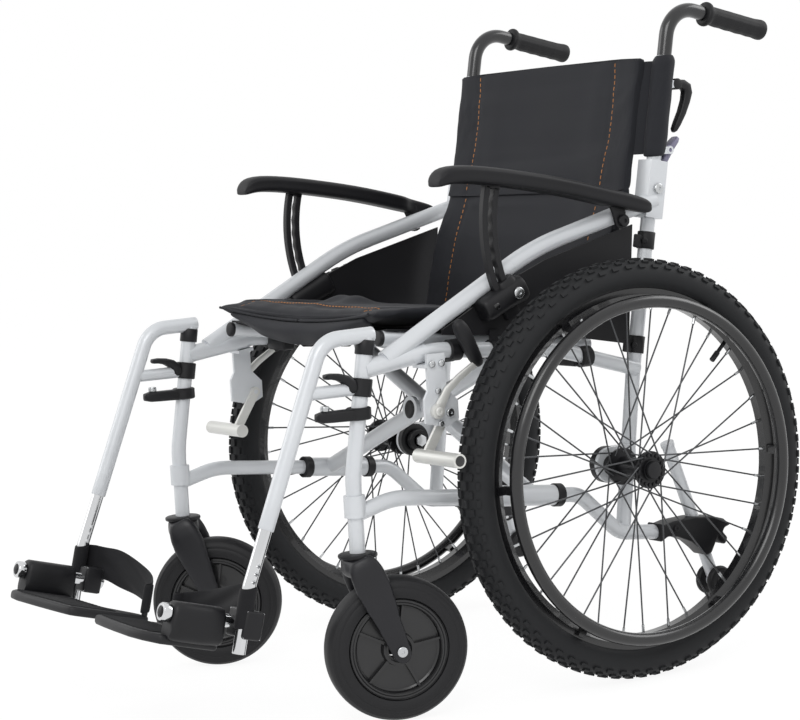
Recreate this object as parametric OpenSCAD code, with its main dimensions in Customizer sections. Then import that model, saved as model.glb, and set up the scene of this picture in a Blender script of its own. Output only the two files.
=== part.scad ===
// All-terrain folding wheelchair: two side frames on a cross brace, knobbly rear wheels with
// handrims, swivel castors, swing-away leg rests, flip-up arm pads, fold-down back and anti-tip wheels.
// Lengths in mm. The chair faces -Y, its left side is +X, the floor is z = 0.

/* [Main sizes] */
// distance between the two side frames, tube centre to tube centre
frame_track = 524; // [516:2:532]
// middle plane of a rear wheel, outside its frame tube
wheel_out = 71; // [69:1:78]
// outside diameter of the side frame tubes
tube_d = 22; // [20:0.5:23]
// outside diameter of the arch tube under the arm pad
arch_d = 25; // [23:0.5:26]

/* [Rear wheels] */
// height of the tyre over its rim
tyre_h = 43; // [41:0.5:45]
// section width of the tyre
tyre_w = 52; // [46:1:54]
// outside diameter of the rim
rim_d = 524; // [516:1:528]
// depth of the rim section
rim_depth = 21; // [16:1:24]
// width of the rim
rim_w = 30; // [26:1:32]
// number of spokes in one wheel
spoke_count = 36; // [24:12:36]
// spoke thickness
spoke_d = 2.4; // [1.8:0.1:2.6]
// diameter of the hub flanges
flange_d = 54; // [48:1:60]
// distance between the hub flanges
flange_gap = 64; // [58:1:66]
// handrim centre line, smaller in diameter than the rim
handrim_inset = 40; // [36:1:48]
// handrim tube diameter
handrim_tube_d = 19; // [16:0.5:20]
// handrim plane outboard of the wheel plane
handrim_offset = 43; // [40:1:46]
// number of handrim tabs
tab_count = 6; // [4:1:8]
// diameter of the quick-release axle
axle_d = 12.7; // [11:0.1:13]

/* [Castors] */
// castor wheel diameter
castor_d = 200; // [190:2:204]
// castor tyre width
castor_w = 46; // [40:1:48]
// castor trail, stem to wheel axle
castor_trail = 46; // [42:1:50]
// steering angle of the left castor as it stands
turn_left = 18; // [0:1:40]
// steering angle of the right castor as it stands
turn_right = 35; // [0:1:40]
// castor stem, ahead of the rear tyre
stem_ahead = 128; // [123:1:135]

/* [Seat] */
// seat rail, inside its frame tube
rail_inset = 44; // [42:1:48]
// seat rail height above the lower fold pivot, square to the tilt
rail_rise = 219; // [214:1:224]
// stand-off between a brace tube and its seat rail
rail_standoff = 19; // [17:1:21]
// tilt of the seat rails, brace and fold axes
fold_tilt = 6.5; // [6:0.1:7]
// cushion overhang outside the middle of the seat rails
cushion_over = 4; // [-3:0.5:7]
// cushion thickness
cushion_t = 40; // [34:1:44]

/* [Leg rests] */
// gap between the two footplates
plate_gap = 76; // [72:2:116]
// footplate thickness
plate_t = 14; // [10:1:16]

/* [Arm pads] */
// arm pad width
arm_w = 44; // [38:1:46]
// arm pad thickness
arm_t = 26; // [22:1:28]
// arm pad, outside its frame tube
arm_out = 17; // [16:1:20]

/* [Hidden] */
$fn = 64;
side_x = frame_track / 2;
wheel_x = side_x + wheel_out;
wheel_d = rim_d + 2 * tyre_h;
handrim_d = rim_d - handrim_inset;
axle_z = wheel_d / 2;
tyre_front_y = -wheel_d / 2;
stem_y = tyre_front_y - stem_ahead;
rail_x = side_x - rail_inset;
cushion_w = 2 * (rail_x + cushion_over);
arm_x = side_x + arm_out;
fit = 0.05;
gap = 0.3;
over = 2;
lap = 1;
swell = 0.15;
link_step = 0.6;
half_share = 0.5;
plane_turn = 90;
round_turn = 360;
tube_r = tube_d / 2;
arch_r = arch_d / 2;

// lowest and highest y of the whole chair, which set the origin between them
front_reach = 316;
front_y = stem_y - front_reach;
rear_y = 359;
origin_y = (front_y + rear_y) / 2;

// front post: upright below the bend, raked above it
post_bend_z = 340;
post_rake = 10;
post_top_z = 508;
post_low_z = 236;
post_bend_r = 150;
function post_y(z) = stem_y + max(0, z - post_bend_z) * tan(post_rake);

// lower rail, along the fold axis between its bends
pivot_y = -150;
pivot_z = 278;
function lower_z(y) = pivot_z + (pivot_y - y) * tan(fold_tilt);
lower_front_z = 288;
lower_lead = 61;
lower_front_y = stem_y + lower_lead;
lower_rear_y = -52;
lower_drop = [18, 201];
lower_end = [102, 191];
lower_bends = [120, 45, 45];

// rear post, back tube and the fold hinge of the back
back_inset = 8;
back_x = side_x - back_inset;
post_foot = [31, 200];
knee = [66, 440];
back_tilt = 11;
knee_r = 300;
function back_y(z) = knee[1] <= z ? knee[0] + (z - knee[1]) * tan(back_tilt)
  : knee[0] - (knee[1] - z) * (knee[0] - post_foot[0]) / (knee[1] - post_foot[1]);
hinge_z = 704;
post_end_z = 684;

// brake foot under the upper rail, ahead of the front of the tyre
brake_lead = 5;
brake_y = tyre_front_y - brake_lead;

// upper rail and arch tube, side view points
upper_back = 15;
upper_path = [[tyre_front_y + upper_back, 501], [-79, 482]];
upper_front_z = 485;
upper_rear_z = 440;
upper_lead = 53;
upper_start_y = stem_y + upper_lead;
upper_bends = [160, 220];
sleeve_d = 26;
sleeve_back = 21;
sleeve_end_y = tyre_front_y + sleeve_back;
arch_front = [stem_y + lower_lead, 495];
arch_knee = [-110, 631];
arch_rear_z = 688;
arch_bend_r = 420;

// points of a side view path set at distance x
function at_x(x, path) = [for (p = path) [x, p[0], p[1]]];
function unit(v) = v / norm(v);
function turn(a, b, c) = acos(unit(b - a) * unit(c - b));
function trim(a, b, c, r) = r * tan(turn(a, b, c) / 2);
function sgn_pow(v, e) = sign(v) * pow(abs(v), e);
function mix(a, b, t) = a + (b - a) * t;

// round bar between two points
module rod(p, q, d) {
  v = q - p;
  translate(p) rotate([0, acos(v[2] / norm(v)), atan2(v[1], v[0])]) cylinder(h = norm(v), d = d);
}

// arc of a bent tube at corner b between a and c
module bend(a, b, c, r, d) {
  u = unit(b - a);
  v = unit(c - b);
  o = b + unit(v - u) * r / cos(turn(a, b, c) / 2);
  x = unit(b - u * trim(a, b, c, r) - o);
  z = cross(x, u);
  multmatrix([[x[0], u[0], z[0], o[0]], [x[1], u[1], z[1], o[1]], [x[2], u[2], z[2], o[2]]])
    rotate_extrude(angle = turn(a, b, c)) translate([r, 0]) circle(d = d + 2 * swell);
}

// bent tube along a path, with a bend radius at each inner corner; the straights lap into the arcs
module bent(path, r, d) {
  last = len(path) - 1;
  for (i = [0 : last - 1]) {
    u = unit(path[i + 1] - path[i]);
    p = i == 0 ? path[i] : path[i] + u * (trim(path[i - 1], path[i], path[i + 1], r[i - 1]) - lap);
    q = i == last - 1 ? path[last] : path[i + 1] - u * (trim(path[i], path[i + 1], path[i + 2], r[i]) - lap);
    rod(p, q, d);
  }
  for (i = [1 : last - 1]) bend(path[i - 1], path[i], path[i + 1], r[i - 1], d);
}

// soft form through a list of rings
module loft(rings) {
  m = len(rings[0]);
  n = len(rings);
  polyhedron(
    points = [for (ring = rings) each ring],
    faces = concat(
      [[for (j = [m - 1 : -1 : 0]) j]],
      [for (i = [0 : n - 2]) for (j = [0 : m - 1])
        [i * m + j, i * m + (j + 1) % m, (i + 1) * m + (j + 1) % m, (i + 1) * m + j]],
      [[for (j = [0 : m - 1]) (n - 1) * m + j]]));
}

// cylinder along x, centred
module pin(d, h) {
  rotate([0, plane_turn, 0]) cylinder(d = d, h = h, center = true);
}

// flat link between two side view points, centred on x
module link(p, q, d, t) {
  v = q - p;
  for (c = [p, q]) translate([0, c[0], c[1]]) pin(d, t);
  translate([0, p[0], p[1]]) rotate([atan2(v[1], v[0]), 0, 0])
    translate([link_step / 2 - t / 2, 0, link_step - d / 2]) cube([t - link_step, norm(v),
      d - 2 * link_step]);
}

// frame of the front post at height z, local z along the post
module on_post(z) {
  translate([side_x, post_y(z), z]) rotate([-post_rake, 0, 0]) children();
}

// frame of the back tube at height z, local z along the tube
module on_back(z) {
  translate([back_x, back_y(z), z]) rotate([-back_tilt, 0, 0]) children();
}

// frame of the brace, local y along the fold axes and z square to the tilt
module on_fold() {
  translate([0, pivot_y, pivot_z]) rotate([-fold_tilt, 0, 0]) children();
}

// side frame
brace_wall = 4;
brace_sleeve_d = tube_d + 2 * brace_wall;
axle_plate_w = 16;
axle_plate_h = 52;
receiver_d = 30;
receiver_in = 19;
receiver_out = 29;
receiver_in_x = side_x - receiver_in;
receiver_out_x = side_x + receiver_out;
hinge_wall = 5;
hinge_block_w = tube_d + 2 * hinge_wall;
hinge_lip = 9;
hinge_block_d = tube_d + hinge_lip;
hinge_low_z = 660;
hinge_cheek_h = 42;
hinge_set = 1;
hinge_front = hinge_block_d / 2 + hinge_set;
hinge_bolt_d = 8;
slot_w = tube_d + hinge_set;
slot_front = 12.6;
tee_d = tube_d + 2 * brace_wall;
tee_h = 30;
tee_z = 300;
pin_d = 14;
pin_depth = 46;

module side_frame() {
  color("silver") difference() {
    union() {
      bent(at_x(side_x, [[stem_y, post_low_z], [stem_y, post_bend_z], [post_y(post_top_z), post_top_z]]),
        [post_bend_r], tube_d);
      translate([side_x, stem_y, tee_z - tee_h / 2]) cylinder(d = tee_d, h = tee_h);
      bent(at_x(side_x, [[stem_y, lower_front_z], [lower_front_y, lower_z(lower_front_y)],
        [lower_rear_y, lower_z(lower_rear_y)], lower_drop, lower_end]), lower_bends, tube_d);
      bent(at_x(side_x, [[upper_start_y, upper_z(upper_start_y)], upper_path[0], upper_path[1],
        [back_y(upper_rear_z), upper_rear_z]]), upper_bends, tube_d);
      rod([side_x, post_y(upper_front_z), upper_front_z], [side_x, sleeve_end_y - tube_d, sleeve_z()],
        sleeve_d);
      bent(at_x(side_x, [arch_front, arch_knee, [back_y(arch_rear_z), arch_rear_z]]), [arch_bend_r], arch_d);
      bent(at_x(back_x, [post_foot, knee, [back_y(post_end_z), post_end_z]]), [knee_r], tube_d);
      translate([receiver_in_x + axle_plate_w, 0, axle_z - axle_plate_h / 2])
        cube([axle_plate_w, back_y(axle_z), axle_plate_h]);
      translate([receiver_in_x + axle_plate_w + axle_plate_w / 2, 0, axle_z]) pin(axle_plate_h, axle_plate_w);
      hinge_bracket();
    }
    translate([receiver_in_x + axle_plate_w + axle_plate_w / 2, 0, axle_z])
      pin(receiver_d + 2 * fit, axle_plate_w + over);
    on_post(post_top_z) translate([0, 0, -pin_depth]) cylinder(d = pin_d + 2 * fit, h = pin_depth + over);
    translate([side_x, stem_y, post_low_z - over]) cylinder(d = stem_d + 2 * fit, h = stem_h + over + gap);
    on_back(hinge_z) pin(hinge_bolt_d + 2 * fit, hinge_block_w + over);
    hinge_slot();
  }
}

function sleeve_z() = mix(upper_front_z, upper_path[0][1],
  (sleeve_end_y - tube_d - post_y(upper_front_z)) / (upper_path[0][0] - post_y(upper_front_z)));

// block on the rear post and its slot for the foot of the back tube, open to the rear
module hinge_bracket() {
  low = hinge_z - hinge_low_z;
  on_back(hinge_z) translate([-hinge_block_w / 2, -hinge_front, -low])
    cube([hinge_block_w, hinge_block_d, low + hinge_cheek_h]);
}

module hinge_slot() {
  on_back(hinge_z) translate([-slot_w / 2, -slot_front, post_end_z - hinge_z])
    cube([slot_w, hinge_block_d + over, hinge_z - hinge_low_z + hinge_cheek_h + over]);
}

// black plastic on the side frame: axle receiver, seat rail saddles, arm bracket, catch plate,
// anti-tip housing with its foot pedal, post cap, tube plug
saddle_step = 52;
saddle_rear_y = -30;
saddle_ys = [brake_y + saddle_step, saddle_rear_y];
saddle_l = 20;
saddle_wall = 4;
saddle_top = 6;
bracket_l = 62;
bracket_h = 36;
bracket_t = 17;
arm_post_t = 5;
arm_post_w = 15;
catch_z = 426;
catch_h = 9;
catch_d = tube_d + 2 * hinge_wall;
catch_l = 66;
catch_w = 15;
cap_step = 3.5;
cap_d = tube_d + 2 * cap_step;
tip_top = [118, 318];
tip_low = [194, 104];
tip_d = 19;
house_z = 186;
house_h = 46;
house_w = 34;
house_front_y = 88;
house_rear = 24;
pedal_y = 222;
pedal_z = 152;
pedal_d = 16;
pedal_w = 26;

function tip_y(z) = tip_top[0] + (tip_low[0] - tip_top[0]) * (tip_top[1] - z) / (tip_top[1] - tip_low[1]);
tip_lean = atan2(tip_low[0] - tip_top[0], tip_top[1] - tip_low[1]);
arm_pivot = [38, 661];
arm_post_r = 236;
arm_post_low = 19;
arm_post_high = 31;
bracket_turn = 24;
bracket_gap = 0.6;

// upper rail height at y, over its three straight runs
function upper_z(y) = y < upper_path[0][0]
  ? upper_front_z + (y - post_y(upper_front_z)) * (upper_path[0][1] - upper_front_z)
    / (upper_path[0][0] - post_y(upper_front_z))
  : y < upper_path[1][0]
  ? upper_path[0][1] + (y - upper_path[0][0]) * (upper_path[1][1] - upper_path[0][1])
    / (upper_path[1][0] - upper_path[0][0])
  : upper_path[1][1] + (y - upper_path[1][0]) * (upper_rear_z - upper_path[1][1])
    / (back_y(upper_rear_z) - upper_path[1][0]);

// seat rail height over the floor at y
function rail_z(y) = pivot_z + rail_rise / cos(fold_tilt) - (y - pivot_y) * tan(fold_tilt);

module frame_fittings() {
  color("black") {
    difference() {
      translate([(receiver_in_x + receiver_out_x) / 2, 0, axle_z])
        pin(receiver_d, receiver_out_x - receiver_in_x);
      translate([(receiver_in_x + receiver_out_x) / 2, 0, axle_z])
        pin(axle_d + 2 * fit, receiver_out_x - receiver_in_x + over);
    }
    for (y = saddle_ys) saddle(y);
    arm_bracket();
    on_post(catch_z) difference() {
      union() {
        cylinder(d = catch_d, h = catch_h, center = true);
        translate([-catch_w / 2, -catch_l, -catch_h / 2]) cube([catch_w, catch_l, catch_h]);
      }
      cylinder(d = tube_d + 2 * fit, h = catch_h + over, center = true);
    }
    anti_tip_housing();
  }
}

// pad clipped on the upper rail that the seat rail drops into
module saddle(y) {
  difference() {
    union() {
      translate([side_x, y, upper_z(y)]) rotate([plane_turn, 0, 0])
        cylinder(d = tube_d + 2 * saddle_wall, h = saddle_l, center = true);
      translate([rail_x - tube_r, y - saddle_l / 2, upper_z(y) - tube_r])
        cube([side_x - rail_x + tube_r, saddle_l, rail_z(y) - upper_z(y) + tube_r - saddle_top]);
    }
    translate([side_x, y, upper_z(y)]) rotate([plane_turn - upper_slope(y), 0, 0])
      cylinder(d = tube_d + 2 * fit, h = saddle_l + tube_d, center = true);
    translate([rail_x, y, rail_z(y)]) rotate([plane_turn - fold_tilt, 0, 0])
      cylinder(d = tube_d + 2 * gap, h = saddle_l + tube_d, center = true);
  }
}

function upper_slope(y) = atan2(upper_z(y - saddle_l) - upper_z(y + saddle_l), 2 * saddle_l);

// arm bracket beside the arch tube, with a curved way for the arm post
module arm_bracket() {
  x = side_x + arch_r + gap;
  difference() {
    translate([0, arm_pivot[0], arm_pivot[1]]) rotate([bracket_turn, 0, 0])
      translate([x, -arm_post_r - bracket_l / 2, -bracket_h / 2]) cube([bracket_t, bracket_l, bracket_h]);
    arm_arc(arm_post_w + 2 * bracket_gap, arm_post_t + 2 * bracket_gap, -plane_turn, round_turn / 2);
  }
}

// ring sector about the arm pivot, from angle a over sweep s, measured from straight ahead
module arm_arc(w, t, a, s) {
  translate([arm_x, arm_pivot[0], arm_pivot[1]]) rotate([0, -plane_turn, 0]) rotate([0, 0,
    round_turn * 3 / 4 + a])
    rotate_extrude(angle = s) translate([arm_post_r - w / 2, -t / 2]) square([w, t]);
}

module anti_tip_housing() {
  y = tip_y(house_z);
  difference() {
    union() {
      translate([side_x - house_w / 2, house_front_y, house_z - house_h / 2])
        cube([house_w, y + house_rear - house_front_y, house_h]);
      translate([side_x, 0, 0]) link([y, house_z - house_h / 4], [pedal_y, pedal_z], pedal_d, pedal_w);
    }
    translate([side_x, y, house_z]) rotate([tip_lean, 0, 0])
      cylinder(d = tip_d + 2 * fit, h = 4 * house_h, center = true);
    rod([side_x, lower_drop[0], lower_drop[1]],
      [side_x, lower_end[0], lower_end[1]] + unit([0, lower_end[0] - lower_drop[0],
        lower_end[1] - lower_drop[1]]) * fit,
      tube_d + 2 * fit);
  }
}

// steel on the side frame: quick-release axle, hinge bolt, arm pivot bolt, catch bolt
button_d = 18;
button_h = 6;
nut_d = 20;
nut_h = 7;
bolt_d = 9;
bolt_head_d = 14;
bolt_head_h = 5;
arm_bolt_l = 46;

module frame_hardware() {
  color("gainsboro") {
    translate([receiver_in_x, 0, axle_z]) {
      rotate([0, plane_turn, 0]) translate([0, 0, -nut_h])
        cylinder(d = axle_d, h = hub_out() - receiver_in_x + nut_h);
      rotate([0, -plane_turn, 0]) cylinder(d = nut_d, h = nut_h);
      translate([hub_out() - receiver_in_x, 0, 0]) rotate([0, plane_turn, 0]) translate([0, 0, gap])
        cylinder(d = button_d, h = button_h);
      translate([hub_out() - receiver_in_x, 0, 0]) rotate([0, plane_turn, 0])
        cylinder(d = axle_d, h = gap + over);
    }
    on_back(hinge_z) {
      pin(hinge_bolt_d, hinge_block_w);
      for (s = [-1, 1]) translate([s * (hinge_block_w / 2 + bolt_head_h / 2), 0, 0]) pin(bolt_head_d,
        bolt_head_h);
    }
    translate([side_x + arch_r + gap, arm_pivot[0], arm_pivot[1]]) {
      translate([arm_bolt_l / 2, 0, 0]) pin(bolt_d, arm_bolt_l);
      translate([arm_bolt_l + bolt_head_h / 2, 0, 0]) pin(bolt_head_d, bolt_head_h);
    }
    on_post(catch_z) translate([0, bolt_head_d - catch_l, catch_h / 2]) cylinder(d = bolt_head_d,
      h = bolt_head_h);
  }
}

// side guard: a sheet between arch, upper rail and rear post with clips round the tubes
guard_t = 3;
guard_inset = 20;
guard_low = 21;
guard_rear = 20;
guard_lead = 30;
guard_front_y = tyre_front_y + guard_lead;
guard_rear_z = 478;
clip_d = 7;
clip_l = 14;
clip_ys = [-190, -120];

function arch_z(y) =
  arch_front[1] + (y - arch_front[0]) * (arch_knee[1] - arch_front[1]) / (arch_knee[0] - arch_front[0]);
function arch_back_z(y) =
  arch_knee[1] + (y - arch_knee[0]) * (arch_rear_z - arch_knee[1]) / (back_y(arch_rear_z) - arch_knee[0]);

module side_guard() {
  color("dimgray") {
    translate([side_x - guard_t / 2, 0, 0]) rotate([plane_turn, 0, plane_turn]) linear_extrude(guard_t)
      polygon([
        [guard_front_y, arch_z(guard_front_y) - guard_inset + over],
        [arch_knee[0] - 2 * guard_rear, arch_z(arch_knee[0] - 2 * guard_rear) - guard_inset],
        [arch_knee[0] + guard_rear, arch_back_z(arch_knee[0] + guard_rear) - guard_inset - guard_t],
        [back_y(arch_back_z(arch_pivot_y())) - 2 * guard_rear, arch_back_z(arch_pivot_y()) - guard_inset],
        [back_y(guard_rear_z) - guard_rear, guard_rear_z],
        [upper_path[1][0], upper_z(upper_path[1][0]) + guard_low],
        [guard_front_y, upper_z(guard_front_y) + guard_low]]);
    for (y = clip_ys) guard_clip(y);
  }
}

function arch_pivot_y() = arm_pivot[0] + guard_rear;

// clip round the upper rail that carries the guard
module guard_clip(y) {
  difference() {
    union() {
      translate([side_x, y, upper_z(y)]) rotate([plane_turn - upper_slope(y), 0, 0])
        cylinder(d = tube_d + clip_d, h = clip_l, center = true);
      translate([side_x + guard_t / 2 + fit, y - clip_l / 2, upper_z(y)])
        cube([clip_d - guard_t, clip_l, tube_d + clip_d]);
    }
    translate([side_x, y, upper_z(y)]) rotate([plane_turn - upper_slope(y), 0, 0])
      cylinder(d = tube_d + 2 * fit, h = clip_l + tube_d, center = true);
  }
}

// brake: bracket on the upper rail, hand lever, shoe in front of the tyre
// its side view points are measured from the front of the tyre
brake_out = 20;
brake_x = side_x + brake_out;
brake_t = 5;
tyre_front = [tyre_front_y, 0];
pivot_set = [-1, 418];
shoe_pivot_set = [21, 414];
shoe_set = [-17, 356];
knee_set = [17, 446];
end_set = [51, 512];
grip_low_set = [43, 496];
grip_high_set = [64, 536];
lever_pivot = tyre_front + pivot_set;
shoe_pivot = tyre_front + shoe_pivot_set;
shoe_at = tyre_front + shoe_set;
shoe_d = 20;
shoe_in = 6;
shoe_in_x = side_x - shoe_in;
shoe_out_x = wheel_x + tyre_w / 2 + over;
lever_knee = tyre_front + knee_set;
lever_end = tyre_front + end_set;
lever_t = 6;
lever_w = 15;
grip_d = 20;
grip_low = tyre_front + grip_low_set;
grip_high = tyre_front + grip_high_set;
brake_pin_d = 7;
brake_foot_in = 9;
brake_foot_l = 26;
brake_foot_t = 5;
plate_set = [[-19, 402], [15, 394], [36, 404], [36, 430], [18, 448], [18, 498], [-12, 498], [-12, 448],
  [-19, 436]];

module brake_bracket() {
  color("silver") {
    translate([side_x, brake_y, upper_z(brake_y)]) rotate([-upper_slope(brake_y), 0, 0])
      translate([-brake_foot_in, -brake_foot_l / 2, -sleeve_d / 2 - fit - brake_foot_t])
        cube([brake_foot_in + brake_out + brake_t / 2, brake_foot_l, brake_foot_t]);
    translate([brake_x - brake_t / 2, 0, 0]) rotate([plane_turn, 0, plane_turn]) linear_extrude(brake_t)
      polygon([for (p = plate_set) tyre_front + p]);
    translate([brake_x + brake_t / 2 + lever_t / 2 + gap, lever_pivot[0], lever_pivot[1]])
      pin(brake_pin_d, lever_t + 2 * gap);
    translate([brake_x - brake_t / 2 - lever_t / 2 - gap, shoe_pivot[0], shoe_pivot[1]])
      pin(brake_pin_d, lever_t + 2 * gap);
  }
}

module brake_lever() {
  x = brake_x + brake_t / 2 + lever_t / 2 + gap;
  difference() {
    color("silver") translate([x, 0, 0]) {
      link(lever_pivot, lever_knee, lever_w, lever_t);
      link(lever_knee, lever_end, lever_t, lever_t);
    }
    translate([x, lever_pivot[0], lever_pivot[1]]) pin(brake_pin_d + 2 * fit, lever_t + over);
  }
  color("black") difference() {
    rod([x, grip_low[0], grip_low[1]], [x, grip_high[0], grip_high[1]], grip_d);
    translate([x, 0, 0]) link(lever_knee, lever_end + unit(lever_end - lever_knee) * fit,
      lever_t + 2 * fit, lever_t + 2 * fit);
  }
}

module brake_shoe() {
  x = brake_x - brake_t / 2 - lever_t / 2 - gap;
  color("silver") difference() {
    union() {
      translate([x, 0, 0]) link(shoe_pivot, shoe_at, lever_w, lever_t);
      translate([(shoe_in_x + shoe_out_x) / 2, shoe_at[0], shoe_at[1]]) pin(shoe_d, shoe_out_x - shoe_in_x);
    }
    translate([x, shoe_pivot[0], shoe_pivot[1]]) pin(brake_pin_d + 2 * fit, lever_t + over);
  }
}

// rear wheel
hub_body_d = 30;
hub_side = 6;
hub_cap_d = 30;
flange_t = 4;
hole_inset = 5;
spoke_cross = 60;
spoke_lean = 3;
spoke_side = 2.6;
bead = 2;
tab_w = 12;
tab_t = 6;
tab_foot = 19;

function hub_out() = wheel_x + flange_gap / 2 + hub_side;
function hub_in() = wheel_x - flange_gap / 2 - hub_side;

module on_wheel() {
  translate([wheel_x, 0, axle_z]) rotate([0, plane_turn, 0]) children();
}

module tyre() {
  color("black") on_wheel() rotate_extrude() difference() {
    translate([wheel_d / 2 - tyre_w / 2, 0]) circle(d = tyre_w);
    translate([0, -rim_w / 2 - fit]) square([rim_d / 2 + fit, rim_w + 2 * fit]);
    translate([0, -tyre_w]) square([rim_d / 2 - bead, 2 * tyre_w]);
  }
}

module rim() {
  color("dimgray") on_wheel() rotate_extrude() polygon([
    [rim_d / 2 - rim_depth, -rim_w / 4], [rim_d / 2 - rim_depth / 2, -rim_w / 2], [rim_d / 2, -rim_w / 2],
    [rim_d / 2, rim_w / 2], [rim_d / 2 - rim_depth / 2, rim_w / 2], [rim_d / 2 - rim_depth, rim_w / 4]]);
}

module spokes() {
  color("gray") on_wheel() for (k = [0 : spoke_count - 1]) {
    s = floor(k / 2) % 2 == 0 ? -1 : 1;
    f = k % 2 == 0 ? -1 : 1;
    a = k * round_turn / spoke_count;
    h = a - s * spoke_cross;
    r = flange_d / 2 - hole_inset;
    q = rim_d / 2 - rim_depth + over;
    rod([r * cos(h), r * sin(h), f * (flange_gap / 2 + s * spoke_side)], [q * cos(a), q * sin(a),
      f * spoke_lean], spoke_d);
  }
}

module hub() {
  color("dimgray") on_wheel() rotate_extrude() polygon([
    [axle_d / 2 + fit, hub_in() - wheel_x], [hub_cap_d / 2, hub_in() - wheel_x],
    [hub_cap_d / 2, -(flange_gap + flange_t) / 2], [flange_d / 2, -(flange_gap + flange_t) / 2],
    [flange_d / 2, -(flange_gap - flange_t) / 2], [hub_body_d / 2, flange_t - flange_gap / 2],
    [hub_body_d / 2, flange_gap / 2 - flange_t], [flange_d / 2, (flange_gap - flange_t) / 2],
    [flange_d / 2, (flange_gap + flange_t) / 2], [hub_cap_d / 2, (flange_gap + flange_t) / 2],
    [hub_cap_d / 2, hub_out() - wheel_x], [axle_d / 2 + fit, hub_out() - wheel_x]]);
}

module handrim() {
  color("black") on_wheel() {
    translate([0, 0, handrim_offset]) rotate_extrude() translate([handrim_d / 2, 0])
      circle(d = handrim_tube_d);
    for (k = [0 : tab_count - 1]) rotate([0, 0, plane_turn + k * round_turn / tab_count])
      translate([handrim_d / 2 - tab_t / 2, -tab_w / 2, rim_w / 2 + fit]) {
        cube([tab_t, tab_w, handrim_offset - rim_w / 2]);
        cube([tab_foot, tab_w, tab_t]);
      }
  }
}

// castor: fork with its stem, bolt and cap, and the bonded wheel
stem_d = 13;
stem_h = 60;
fork_t = 8;
castor_play = 3.5;
fork_gap = castor_w + 2 * castor_play;
crown_d = 46;
castor_clear = 5;
crown_low = castor_d + castor_clear;
crown_h = 20;
blade_top_d = 34;
blade_low_d = 30;
castor_bolt_d = 10;
castor_hub_w = 40;
castor_rim_share = 0.66;
castor_round = 11;
boss_d = 36;
web_t = 12;
rib_count = 5;
rib_t = 7;
race_d = 42;

module on_castor(turn) {
  translate([side_x, stem_y, 0]) rotate([0, 0, -turn]) children();
}

module castor_fork(turn) {
  top = crown_low + crown_h;
  color("black") on_castor(turn) {
    difference() {
      union() {
        translate([0, 0, crown_low]) cylinder(d = crown_d, h = crown_h);
        translate([0, 0, top]) cylinder(d = race_d, h = post_low_z - top - gap);
        translate([0, 0, top]) cylinder(d = stem_d, h = post_low_z + stem_h - top);
        translate([-fork_gap / 2 - fork_t / 2, -blade_top_d / 2, crown_low])
          cube([fork_gap + fork_t, blade_top_d, crown_h]);
        for (s = [-1, 1]) translate([s * (fork_gap + fork_t) / 2, 0, 0])
          link([0, crown_low + crown_h / 2], [castor_trail, castor_d / 2], blade_low_d, fork_t);
      }
      translate([0, castor_trail, castor_d / 2]) pin(castor_bolt_d + 2 * fit, fork_gap + 4 * fork_t);
    }
  }
  color("silver") on_castor(turn) translate([0, castor_trail, castor_d / 2]) {
    pin(castor_bolt_d, fork_gap + 2 * fork_t + 2 * lap);
    for (s = [-1, 1]) translate([s * (fork_gap / 2 + fork_t + gap + bolt_head_h / 2), 0, 0])
      pin(2 * castor_bolt_d, bolt_head_h);
  }
}

module castor_wheel(turn) {
  r = castor_d / 2;
  q = r * castor_rim_share;
  color("black") on_castor(turn) translate([0, castor_trail, r]) rotate([0, plane_turn, 0]) {
    rotate_extrude() polygon([
      [q, -castor_w / 2 + castor_round / 2], [r - 2 * castor_round, -castor_w / 2], [r - castor_round / 2,
        -castor_w / 2 + castor_round],
      [r, -castor_round / 2], [r, castor_round / 2], [r - castor_round / 2, castor_w / 2 - castor_round],
      [r - 2 * castor_round, castor_w / 2], [q, castor_w / 2 - castor_round / 2]]);
    difference() {
      union() {
        rotate_extrude() polygon([
          [q - rib_t, -castor_hub_w / 2], [q, -castor_hub_w / 2 + over], [q, castor_hub_w / 2 - over],
            [q - rib_t, castor_hub_w / 2]]);
        cylinder(r = q - rib_t / 2, h = web_t, center = true);
        cylinder(d = boss_d, h = castor_hub_w, center = true);
        for (k = [0 : rib_count - 1]) rotate([0, 0, k * round_turn / rib_count])
          translate([0, -rib_t / 2, -castor_hub_w / 2 + over]) cube([q - rib_t / 2, rib_t,
            castor_hub_w - 2 * over]);
      }
      cylinder(d = castor_bolt_d + 2 * fit, h = castor_w + over, center = true);
    }
  }
}

// leg rest: hanger tube on its pin, latch, sliding extension, plate pivot, plate and heel loop
hanger_top_z = 532;
knee_ahead = 37;
hanger_ahead = 140;
ext_ahead = 192;
plate_ahead = 173;
latch_ahead = 6;
hanger_knee = [stem_y - knee_ahead, 530];
hanger_low = [stem_y - hanger_ahead, 286];
hanger_bend_r = 42;
stub_z = 460;
stub_d = 18;
collar_h = 26;
collar_wall = 4.5;
collar_d = tube_d + 2 * collar_wall;
ext_d = 18;
ext_in = 110;
ext_low_z = 214;
ext_end = [stem_y - ext_ahead, 128];
ext_bend_r = 70;
hole_d = 6;
hole_shares = [0.62, 0.76, 0.9];
hinge_inset = 24;
hinge_x = side_x - hinge_inset;
plate_pivot = [stem_y - plate_ahead, 164];
plate_reach = hinge_x - plate_gap / 2;
toe_up = 16;
pivot_d = 18;
pivot_l = 124;
pivot_cap_d = 23;
pivot_cap_l = 9;
socket_l = 26;
socket_h = 36;
socket_w = 48;
plate_drop = 28;
sleeve_block_h = 52;
sleeve_block_w = 32;
sleeve_from = -30;
sleeve_to = -108;
plate_rear = -28;
plate_inner = -102;
plate_nose = -122;
plate_front = -137;
plate_tail = 10;
tail_shares = [0.62, 0.84];
rib_h = 2;
plate_ribs = 9;
post_pin_d = 8;
post_pin_h = 30;
latch_front = 26;
latch_rear = 8;
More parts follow.
